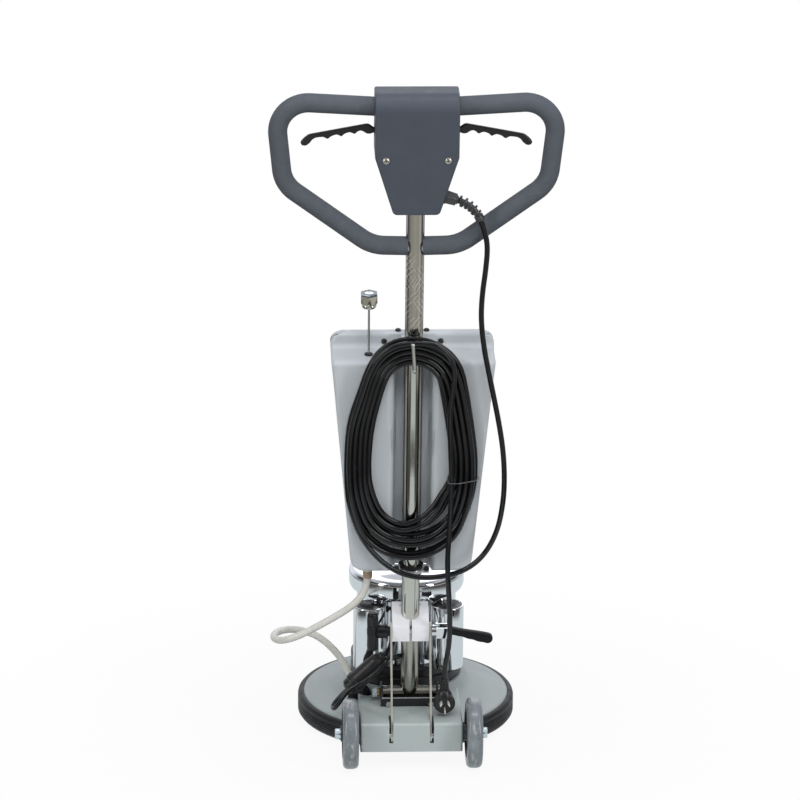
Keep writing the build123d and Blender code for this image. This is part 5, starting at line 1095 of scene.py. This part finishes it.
paddle_outline = upper + ends_out + list(reversed(lower)) + ends_in
paddle = plate("cam_paddle", paddle_outline, 13.8, 3.6, on_handle(w=BOLT_W), steps=4, smooth=60.0)
dress(paddle, "cam", "black_plastic", "cam_lever", look="cam_black")

# In-line connector: a tapered moulded body with ringed collars, and the grommet on the motor
CONNECTOR_TOP = mm(-46.0, -161.0, 181.3)
CONNECTOR_AXIS = Vector((-0.706, 0, -0.708)).normalized()
CONNECTOR_PROFILE = [
    (0, 0.1, 0), (8.3, 0.1, 1.2), (9.4, 3.0, 1.5), (9.4, 6.8, 0.8), (8.6, 8.2, 0.6), (12.4, 11.0, 2.5),
    (15.3, 18.0, 5.0), (16.5, 30.0, 12.0), (17.8, 67.6, 0.8), (19.5, 69.0, 0.8), (19.5, 72.0, 0.8),
    (18.0, 73.1, 0.5), (19.5, 74.2, 0.8), (19.5, 77.0, 0.9), (17.3, 78.8, 1.0), (16.4, 88.6, 3.0),
    (11.0, 93.8, 2.0), (0, 93.9, 0),
]
shell = rounded([row[:2] for row in CONNECTOR_PROFILE], [row[2] for row in CONNECTOR_PROFILE], 4)
connector = turned(
    "connector_body", shell, CONNECTOR_TOP, CONNECTOR_AXIS, 64, "chassis", "black_plastic", "lead_connector"
)
MOTOR_LEAD_X, MOTOR_LEAD_Z = -22.0, 231.0
GROMMET_Y = -math.sqrt(MOTOR_RADIUS**2 - MOTOR_LEAD_X**2) - 10.0
turned(
    "motor_grommet",
    [(4.1, -0.1), (5.8, 0), (6.4, 0.8), (6.4, 4.0), (7.0, 5.0), (7.0, 15.0), (4.1, 15.0)],
    mm(MOTOR_LEAD_X, GROMMET_Y, MOTOR_LEAD_Z), (0, 1, 0), 40,
    "chassis", "black_plastic", "lead_connector", looped=True,
)

# Leads either side of the connector
LEAD_RADIUS = 0.004
connector_foot = CONNECTOR_TOP + CONNECTOR_AXIS * 0.094
handle_lead_line = spline_points(
    "handle_lead_line",
    [
        hp(-16.2, 74.0, 0), mm(-31.5, -172.0, 179.5), mm(-43.5, -182.5, 172.5), mm(-60.0, -187.0, 158.0),
        mm(-80.0, -188.0, 142.0), mm(-100.0, -188.0, 131.0), mm(-116.0, -187.5, 119.0),
        mm(-138.0, -187.0, 83.0),
        connector_foot + CONNECTOR_AXIS * 0.040,
        connector_foot,
    ],
    8,
)
lead_of_handle = tube("lead_of_handle", handle_lead_line, LEAD_RADIUS, 16)
dress(lead_of_handle, None, "cord_rubber", "handle_lead")
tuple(handle_lead_line[0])
line_length(handle_lead_line)
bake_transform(lead_of_handle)
motor_lead_line = spline_points(
    "motor_lead_line",
    [
        CONNECTOR_TOP,
        CONNECTOR_TOP - CONNECTOR_AXIS * 0.010,
        mm(-34.5, -157.0, 198.0), mm(-31.0, -145.0, 210.0), mm(-27.0, -126.0, 222.0),
        mm(MOTOR_LEAD_X, GROMMET_Y - 10.0, MOTOR_LEAD_Z),
        mm(MOTOR_LEAD_X, GROMMET_Y - 0.05, MOTOR_LEAD_Z),
    ],
    8,
)
lead_of_motor = tube("lead_of_motor", motor_lead_line, LEAD_RADIUS, 16)
dress(lead_of_motor, "chassis", "cord_rubber", "motor_lead")
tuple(motor_lead_line[-1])
line_length(motor_lead_line)

# Chromed motor cap and capacitor cans, turned clean for their reflections
cap_rows = rounded(
    [(91.3, 255.0), (94.3, 255.0), (103.3, 260.0), (105.5, 266.0), (105.5, 295.0), (91.0, 297.2)],
    [0, 1.0, 3.0, 2.0, 12.0, 0],
    8,
)
DOME_RISE, DOME_TOP, DOME_STEPS = 12.0, 309.0, 24
DOME_RADIUS = (MOTOR_RADIUS**2 + DOME_RISE**2) / (2 * DOME_RISE)
for k in range(1, DOME_STEPS + 1):
    reach = MOTOR_RADIUS * (1 - k / DOME_STEPS)
    cap_rows.append((reach, DOME_TOP - DOME_RADIUS + math.sqrt(DOME_RADIUS**2 - reach**2)))
turned("cap_shell", cap_rows, ORIGIN, Z_AXIS, 192, "chassis", "chrome", "motor_cap", smooth=30.0)
CAN_X, CAN_Y = 70.99, -97.0
CAN = ("chassis", "chrome", "capacitor_covers")
can_profile = rounded(
    [(29.4, 136.0), (29.5, 137.0), (29.5, 254.0), (26.2, 254.0), (25.2, 252.6), (0, 252.6)],
    [0, 0, 2.4, 0.8, 0.8, 0],
    6,
)
# Dark discs on the cans' tops: a painted reflection of the dark cap above them
CAN_TOP = [(0, 252.0), (25.4, 252.0), (25.4, 252.9), (24.6, 253.2), (0, 253.2)]
for side, word in SIDES:
    foot = mm(side * CAN_X, CAN_Y, 0)
    turned(f"can_{word}", can_profile, foot, Z_AXIS, 128, *CAN, smooth=30.0)
    turned(f"can_top_painted_dark_{word}", CAN_TOP, foot, Z_AXIS, 96, *CAN, look="can_top_painted_dark")

# Base cover
cover_profile = rounded(
    [(186.0, 22.0), (189.0, 22.0), (189.0, 48.5), (186.6, 51.6), (118.0, 71.0), (108.0, 91.0), (102.0, 91.0)],
    [0, 0, 1.5, 4.0, 16.0, 2.0, 0],
    7,
)
turned("cover_skin", cover_profile, ORIGIN, Z_AXIS, 220, "chassis", "grey_paint", "base_cover", smooth=30.0)

# Bumper: rows of (radius, height above its foot)
BUMPER_LOW, RIBS, RIB_STEP = 11.0, 5, 4.3
RIB = [(198.0, 0.0), (199.5, 0.5), (200.0, 1.2), (200.0, 1.9), (199.5, 2.6), (198.0, 3.1), (197.8, 3.9)]
bumper_rows = [(189.2, 0.0), (195.8, 0.0), (197.4, 1.0), (197.8, 3.2)]
for rib in range(RIBS):
    bumper_rows += [(radius, 3.6 + RIB_STEP * rib + rise) for radius, rise in RIB]
bumper_rows += [(198.2, 25.2), (200.0, 26.0), (200.0, 31.0), (199.2, 34.2), (197.2, 36.6)]
bumper_rows += [(194.2, 37.8), (190.6, 38.0), (189.2, 37.4)]
bumper_profile = [(radius, BUMPER_LOW + rise) for radius, rise in bumper_rows]
turned(
    "bumper_band", bumper_profile, ORIGIN, Z_AXIS, 220,
    "chassis", "bumper_rubber", "bumper_ring", looped=True, smooth=60.0,
)

# Tyres: round-shouldered, and narrower on their left side
tyre_outline = rounded(
    [
        (44.0, -11.4), (51.0, -12.4), (59.5, -12.0), (63.5, -6.0), (63.5, 9.0), (59.5, 15.6),
        (51.0, 16.0), (44.0, 15.0),
    ],
    [1.5, 8.0, 9.0, 13.0, 13.0, 9.0, 8.0, 1.5],
    7,
)
for side, word in SIDES:
    turned(
        f"tyre_{word}", tyre_outline, mm(side * WHEEL_X, WHEEL_Y, WHEEL_R), (1, 0, 0), 128,
        f"{word}_wheel", "wheel_rubber", f"{word}_tyre", looped=True, smooth=50.0,
    )

# Axle bolts, with a nut inside the housing
AXLE_INNER, AXLE_END, HOUSING_INSIDE, LEFT_HEAD_IN = 74.0, 127.6, 89.45, -3.8


def bolt_head(name, corner, height, place, axis):
    """A hexagonal head on a thin washer face, with turned corners."""
    rows = [
        (0, 99, 0), (30, corner * 0.92, 0), (30, corner * 0.92, 0.6), (corner, corner * 0.90, 0.7),
        (corner, 99, 1.8), (corner, 99, height - 1.8), (corner, corner * 0.91, height - 0.3),
        (30, corner * 0.80, height), (0, 99, height),
    ]
    return hexagon(name, rows, place, axis)


for side, word in SIDES:
    out = Vector((side, 0, 0))
    foot = mm(side * AXLE_INNER, WHEEL_Y, WHEEL_R)
    end_at = LEFT_HEAD_IN if side < 0 else 0.0
    head_at = mm(side * (AXLE_END + end_at), WHEEL_Y, WHEEL_R)
    long = AXLE_END - AXLE_INNER + 1.0
    shaft = [(0, 0), (5.4, 0), (6.0, 0.8), (6.0, long), (0, long)]
    bolt = join(
        f"axle_bolt_{word}",
        lathe(f"axle_shaft_{word}", shaft, foot, out, 40),
        bolt_head(f"axle_head_{word}", 10.6, 9.5 - end_at, head_at, out),
        bolt_head(f"axle_nut_{word}", 10.0, 9.0, mm(side * HOUSING_INSIDE, WHEEL_Y, WHEEL_R), -out),
    )
    dress(bolt, "chassis", subparts["wheel_axles"], "wheel_axles", look="blue_zinc")

# Pivot bolt: nut on a brass spacer at the left, head at the right
EAR_OUTER = 52.5
pivot_left = Vector((-EAR_OUTER / 1000.0, PIVOT.y, PIVOT.z))
pivot_right = Vector((EAR_OUTER / 1000.0, PIVOT.y, PIVOT.z))
pivot_shaft = [(0, 0), (5.2, 0), (6.0, 1.0), (6.0, 2 * EAR_OUTER + 15.0), (0, 2 * EAR_OUTER + 15.0)]
pivot_metal = join(
    "pivot_metal",
    lathe("pivot_shaft", pivot_shaft, pivot_left + Vector((-0.015, 0, 0)), (1, 0, 0), 40),
    bolt_head("pivot_head", 10.0, 7.0, pivot_right, RIGHT),
    bolt_head("pivot_nut", 10.0, 9.0, pivot_left + Vector((-0.006, 0, 0)), -RIGHT),
)
dress(pivot_metal, "chassis", subparts["pivot_bolt"], "pivot_bolt", look="blue_zinc")
turned(
    "pivot_spacer",
    [(6.05, 0), (7.2, 0), (7.5, 0.4), (7.5, 5.6), (7.2, 6.0), (6.05, 6.0)],
    pivot_left, (-1, 0, 0), 48,
    "chassis", subparts["pivot_bolt"], "pivot_bolt", look="brass", looped=True,
)

# Rubber tee at the foot of the water hose, with a branch into the housing
inlet_foot = mm(-101.0, -108.0, 0.0)
inlet_rows = [(0, 62.0), (10.6, 62.0), (10.6, 65.0), (9.4, 66.0), (9.4, 96.0), (10.2, 96.6), (10.2, 99.4)]
inlet_rows += [(9.4, 100.4), (7.2, 101.2), (0, 101.2)]
branch_route = [
    mm(-101.0, -108.0, 92.0), mm(-95.0, -111.0, 97.0), mm(-85.0, -117.0, 98.0), mm(-78.0, -122.0, 95.0),
    mm(-76.0, -124.0, 86.0),
]
inlet_tee = join(
    "inlet_tee",
    lathe("inlet_body", inlet_rows, inlet_foot, Z_AXIS, 48),
    tube("inlet_branch", spline_points("branch_line", branch_route, 8), 0.0092, 28),
)
dress(inlet_tee, "chassis", subparts["hose_inlet"], "hose_inlet", look="cam_black")

# Pad under the disc
pad_box = [nodes["floor_pad"].matrix_world @ Vector(c) for c in nodes["floor_pad"].bound_box]
PAD_TOP = max(p.z for p in pad_box) * 1000.0
PAD_R = max(p.x for p in pad_box) * 1000.0
PAD_RINGS, EDGE_RINGS = 20, 8
pad_rows = [(0, 0.2)]
for k in range(1, PAD_RINGS):
    pad_rows.append((PAD_R * k / PAD_RINGS, 0.2 + 0.25 * (k % 2)))
for k in range(EDGE_RINGS + 1):
    t = k / EDGE_RINGS
    pad_rows.append((PAD_R - (1.2 if k % 2 else 0.2), 0.3 + (PAD_TOP - 0.4) * t))
pad_rows += [(PAD_R * 0.6, PAD_TOP - 0.1), (0, PAD_TOP - 0.1)]
pad = turned("pad_disc", pad_rows, ORIGIN, Z_AXIS, 128, "disc", "pad_fibre", "floor_pad")

# Sheet and cast pieces with their edges broken
for name, node_name, width, body in (
    ("clamp_block", "handle_clamp", 0.9, "handle"),
    ("housing_shell", "wheel_housing", 1.6, "chassis"),
    ("bracket_sheet", "pivot_bracket", 0.8, "chassis"),
    ("fork_casting", "clamp_bolt", 0.7, "handle"),
    ("brace_bars", "braces", 0.5, "brace_pair"),
):
    piece = soften(name, node_name, width)
    # The wheel housing gets a lighter copy of the cover's grey, painted light on its face
    look = "housing_grey_painted_light" if node_name == "wheel_housing" else None
    dress(piece, body, subparts[node_name], node_name, look=look)

# Rubber bush round the tube under the tank, in a clamp ring with a bolted tab at each side
turned(
    "bush_collar",
    [
        (16.1, 243.0), (20.4, 243.0), (20.6, 253.8), (22.2, 254.4),
        (22.9, 256.2), (22.6, 258.4), (21.0, 259.6), (16.1, 259.6),
    ],
    hp(0, 0, 0), UP, 72,
    "handle", subparts["tank_bush"], "tank_bush", look="bush_rubber", looped=True,
)
hoop = lathe(
    "ring_hoop",
    [(20.7, 246.4), (21.8, 246.4), (22.4, 247.2), (22.4, 252.6), (21.8, 253.6), (20.7, 253.6)],
    hp(0, 0, 0), UP, 72, looped=True,
)
tabs = [hoop]
tab_outline = rounded([(20.0, 248.0), (32.0, 248.0), (32.0, 265.0), (20.0, 265.0)], 1.5, 3)
for side in (-1, 1):
    tabs.append(plate(f"ring_tab_{len(tabs)}", tab_outline, 2.6, 0.6, on_handle(side, -14.6), steps=3))
ring_clamp = join("ring_clamp", *tabs)
dress(ring_clamp, "handle", subparts["tank_ring"], "tank_ring", look="ring_grey")

# Painted highlight: a pale bead along the top of the bracket's rear lip, standing in for the light on its
# rounded edge
lip_highlight_line = [mm(x, -185.5, 106.5) for x in (-51.0, -25.0, 0.0, 25.0, 51.0)]
lip_highlight = tube("bracket_lip_highlight", lip_highlight_line, 0.0009, 12)
dress(lip_highlight, "chassis", subparts["pivot_bracket"], "pivot_bracket", look="hanger_grey")

# Wire tie round the coil's right side: corners of (x, w) at one height
TIE_AT, TIE_RADIUS = 439.0, 0.0009
TIE = [(62.0, -15.5), (116.2, -15.5), (116.6, -29.0), (108.0, -37.2), (81.0, -48.0), (61.5, -48.2)]
tie_line = [hp(p.x, TIE_AT, p.y) for p in rounded(TIE, 6.0, 6)]
tie_rings = tube_rings(tie_line[-1:] + tie_line + tie_line[:1], TIE_RADIUS, 10)[1:-1]
tie = add_mesh("coil_tie", *skin(tie_rings, looped=True), smooth=60.0)
dress(tie, "handle", "cord_rubber", look="tie_wire")

# Mains cord
mains_cord = tube("mains_cord", cord_line, CORD_RADIUS, 16)
dress(mains_cord, None, "cord_rubber", "cord_lead", "cord_coil", "cord_tail")
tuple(cord_line[0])
line_length(cord_line)
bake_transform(mains_cord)

# Water hose: a soft tube from the outlet round to the cover
HOSE_RADIUS = 0.0065
hose_route = [
    hp(VALVE_X, TANK_BOTTOM - 9.0, VALVE_W), hp(VALVE_X, TANK_BOTTOM - 31.0, VALVE_W),
    mm(-84.0, -165.0, 301.0), mm(-103.0, -169.0, 280.0), mm(-133.0, -175.0, 262.5),
    mm(-172.0, -183.0, 243.0), mm(-207.0, -187.0, 226.5), mm(-234.5, -172.0, 213.5),
    mm(-247.5, -143.0, 208.5), mm(-242.0, -110.0, 206.5), mm(-220.5, -85.5, 203.5),
    mm(-189.0, -76.0, 196.5), mm(-161.0, -79.0, 184.5), mm(-135.0, -87.0, 163.0),
    mm(-116.5, -96.0, 140.0), mm(-105.5, -104.0, 116.0), mm(-101.0, -108.0, 98.0),
    mm(-101.0, -108.0, 80.0),
]
hose_line = spline_points("hose_line", hose_route, 8)
water_tube = tube("water_tube", hose_line, HOSE_RADIUS, 20)
dress(water_tube, None, "hose_vinyl", "water_hose")
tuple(hose_line[0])
line_length(hose_line)
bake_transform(water_tube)

# Floor and soft studio light. The walls are what polished metal mirrors: grey behind the camera,
# dark at both sides and white behind the machine
FLOOR_GLOW = 0.92
FLOOR_MIRRORED = (0.66, 0.72, 0.735)
FLOOR_FAR = (0.085, 0.085, 0.08)
SEAM_AT = 1.07
BACKDROP = (0.88, 0.90, 0.98)
ROOM = [
    (0.0, (0.20, 0.19, 0.165)), (0.40, (0.17, 0.165, 0.15)), (0.50, (0.15, 0.145, 0.14)),
    (0.62, (0.24, 0.24, 0.24)), (0.80, (0.48, 0.48, 0.49)), (1.0, (0.62, 0.62, 0.63)),
]
ABOVE = [
    (0.0, (0.05, 0.05, 0.05)), (0.45, (0.06, 0.06, 0.06)), (0.62, (0.36, 0.36, 0.37)),
    (1.0, (0.75, 0.76, 0.80)),
]
WALLS = [
    (0.0, (0.80, 0.80, 0.82)), (0.12, (0.60, 0.60, 0.60)), (0.19, (0.14, 0.14, 0.135)),
    (0.25, (0.10, 0.10, 0.098)), (0.29, (0.27, 0.265, 0.25)), (0.36, (0.34, 0.335, 0.31)),
    (0.50, (0.42, 0.41, 0.375)), (0.61, (0.36, 0.355, 0.33)), (0.67, (0.52, 0.51, 0.48)),
    (0.72, (0.44, 0.435, 0.41)), (0.765, (0.24, 0.24, 0.235)), (0.82, (0.38, 0.38, 0.375)),
    (0.90, (0.78, 0.78, 0.79)), (1.0, (0.80, 0.80, 0.82)),
]
FLOOR_AT, FLOOR_SIZE, FLOOR_SIDES, FLOOR_GREY = (0.0, -0.15, -0.0005), 1.45, 96, (0.70, 0.70, 0.70, 1)
floor_mesh = bpy.data.meshes.new("floor")
floor_ring = []
for k in range(FLOOR_SIDES):
    angle = math.tau * k / FLOOR_SIDES
    floor_ring.append((FLOOR_SIZE * math.cos(angle), FLOOR_SIZE * math.sin(angle), 0))
floor_mesh.from_pydata(floor_ring, [], [tuple(range(FLOOR_SIDES))])
floor = bpy.data.objects.new("floor", floor_mesh)
floor.location = FLOOR_AT
scene.collection.objects.link(floor)
floor_mat = bpy.data.materials.new("floor_white")
floor_mat.use_nodes = True
ground = Graph(floor_mat.node_tree)
ground.tree.nodes.clear()
path = ground.node("ShaderNodeLightPath")
reach = ground.node("ShaderNodeVectorMath", operation="LENGTH")
on_floor = ground.node("ShaderNodeTexCoord").outputs["Object"]
ground.link(on_floor, reach.inputs[0])
clear = ground.span(reach.outputs["Value"], 0.35, 0.95, FLOOR_GLOW, 1.0)
plain = ground.sums("MAXIMUM", path.outputs["Is Camera Ray"], path.outputs["Is Transmission Ray"])
shown = ground.sums("MAXIMUM", plain, path.outputs["Is Glossy Ray"])
bounce = ground.node("ShaderNodeBsdfDiffuse")
bounce.inputs["Color"].default_value = FLOOR_GREY
split = ground.split(on_floor)
aside = ground.sums("ABSOLUTE", ground.sums("ARCTAN2", split["X"], ground.sums("MULTIPLY", split["Y"], -1.0)))
sideways = ground.sums("MULTIPLY", ground.span(aside, 0.42, 0.60), ground.span(aside, 1.5, 1.9, 1.0, 0.0))
dim = ground.sums("MULTIPLY", ground.span(reach.outputs["Value"], 0.80, 0.92), sideways)
seam = ground.sums("ABSOLUTE", ground.sums("SUBTRACT", reach.outputs["Value"], SEAM_AT))
dim = ground.sums("MAXIMUM", dim, ground.span(seam, 0.060, 0.085, 1.0, 0.0))
glow = ground.node("ShaderNodeEmission")
mirrored = ground.blend(dim, FLOOR_MIRRORED, FLOOR_FAR)
ground.link(ground.blend(path.outputs["Is Glossy Ray"], (1, 1, 1), mirrored), glow.inputs["Color"])
both = ground.node("ShaderNodeMixShader")
ground.link(ground.sums("MULTIPLY", shown, clear), both.inputs["Fac"])
ground.link(bounce.outputs[0], both.inputs[1])
ground.link(glow.outputs[0], both.inputs[2])
ground.link(both.outputs[0], ground.node("ShaderNodeOutputMaterial").inputs["Surface"])
floor_mesh.materials.append(floor_mat)
floor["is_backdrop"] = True

# What lights the machine, what metal mirrors, and white for the camera
world = bpy.data.worlds.new("studio")
scene.world = world
world.use_nodes = True
sky = Graph(world.node_tree)
sky.tree.nodes.clear()
x, y, z = sky.split(sky.node("ShaderNodeTexCoord").outputs["Generated"])
path = sky.node("ShaderNodeLightPath")
room = sky.ramp(sky.span(z, -1.0, 1.0), ROOM)
round_it = sky.sums("ARCTAN2", x, sky.sums("MULTIPLY", y, -1.0))
walls = sky.ramp(sky.span(round_it, -math.pi, math.pi), WALLS)
above = sky.ramp(z, ABOVE)
mirrored = sky.blend(sky.span(z, -0.02, 0.06), walls, above)
behind = sky.span(y, 0.35, 0.75)
low_enough = sky.span(z, 0.55, 0.85, 1.0, 0.0)
mirrored = sky.blend(sky.sums("MULTIPLY", behind, low_enough), mirrored, BACKDROP)
lit = sky.blend(path.outputs["Is Glossy Ray"], room, mirrored)
plain = sky.sums("MAXIMUM", path.outputs["Is Camera Ray"], path.outputs["Is Transmission Ray"])
light = sky.node("ShaderNodeBackground")
sky.link(sky.blend(plain, lit, (1, 1, 1)), light.inputs["Color"])
sky.link(light.outputs[0], sky.node("ShaderNodeOutputWorld").inputs["Surface"])


def area_light(name, place, target, size, power):
    """A soft box that points at a target."""
    data = bpy.data.lights.new(name, "AREA")
    data.shape = "RECTANGLE"
    data.size, data.size_y = size
    data.energy = power
    lamp = bpy.data.objects.new(name, data)
    lamp.location = place
    lamp.rotation_euler = (Vector(target) - Vector(place)).to_track_quat("-Z", "Y").to_euler()
    scene.collection.objects.link(lamp)
    return lamp


area_light("key", (2.7, -2.4, 2.0), (0, -0.1, 0.75), (0.55, 2.8), 46)
area_light("fill", (-2.9, -2.1, 1.9), (0, -0.1, 0.75), (0.55, 2.7), 38)
area_light("top", (0.0, -0.6, 3.6), (0, -0.1, 0.6), (1.5, 0.6), 15)
area_light("back", (0.5, 3.2, 2.2), (0, 0, 0.6), (2.4, 1.8), 12)
front = area_light("front", (0.2, -3.3, 3.9), (0, -0.1, 0.7), (2.4, 1.2), 78)
front.visible_glossy = False

# Camera, fitted to the photograph
SENSOR, FOCAL_PIXELS, PHOTO_PIXELS = 36.0, 3945.7, 800.0
CAMERA_AT = (-0.2975, -6.8135, 2.8148)
camera_data = bpy.data.cameras.new("camera")
camera = bpy.data.objects.new("camera", camera_data)
camera_data.sensor_width = SENSOR
camera_data.lens = FOCAL_PIXELS / PHOTO_PIXELS * SENSOR
camera_data.clip_end = 100.0
turn, pitch, roll = math.radians(2.3823), math.radians(17.8885), math.radians(0.4)
ahead = Vector((math.sin(turn) * math.cos(pitch), math.cos(turn) * math.cos(pitch), -math.sin(pitch)))
level = Vector((math.cos(turn), -math.sin(turn), 0.0))
above = level.cross(ahead)
across = level * math.cos(roll) + above * math.sin(roll)
above = above * math.cos(roll) - level * math.sin(roll)
facing = Matrix((across, above, -ahead)).transposed().to_4x4()
camera.matrix_world = Matrix.Translation(CAMERA_AT) @ facing
scene.collection.objects.link(camera)
scene.camera = camera
scene.view_settings.view_transform = "Standard"

low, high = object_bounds()
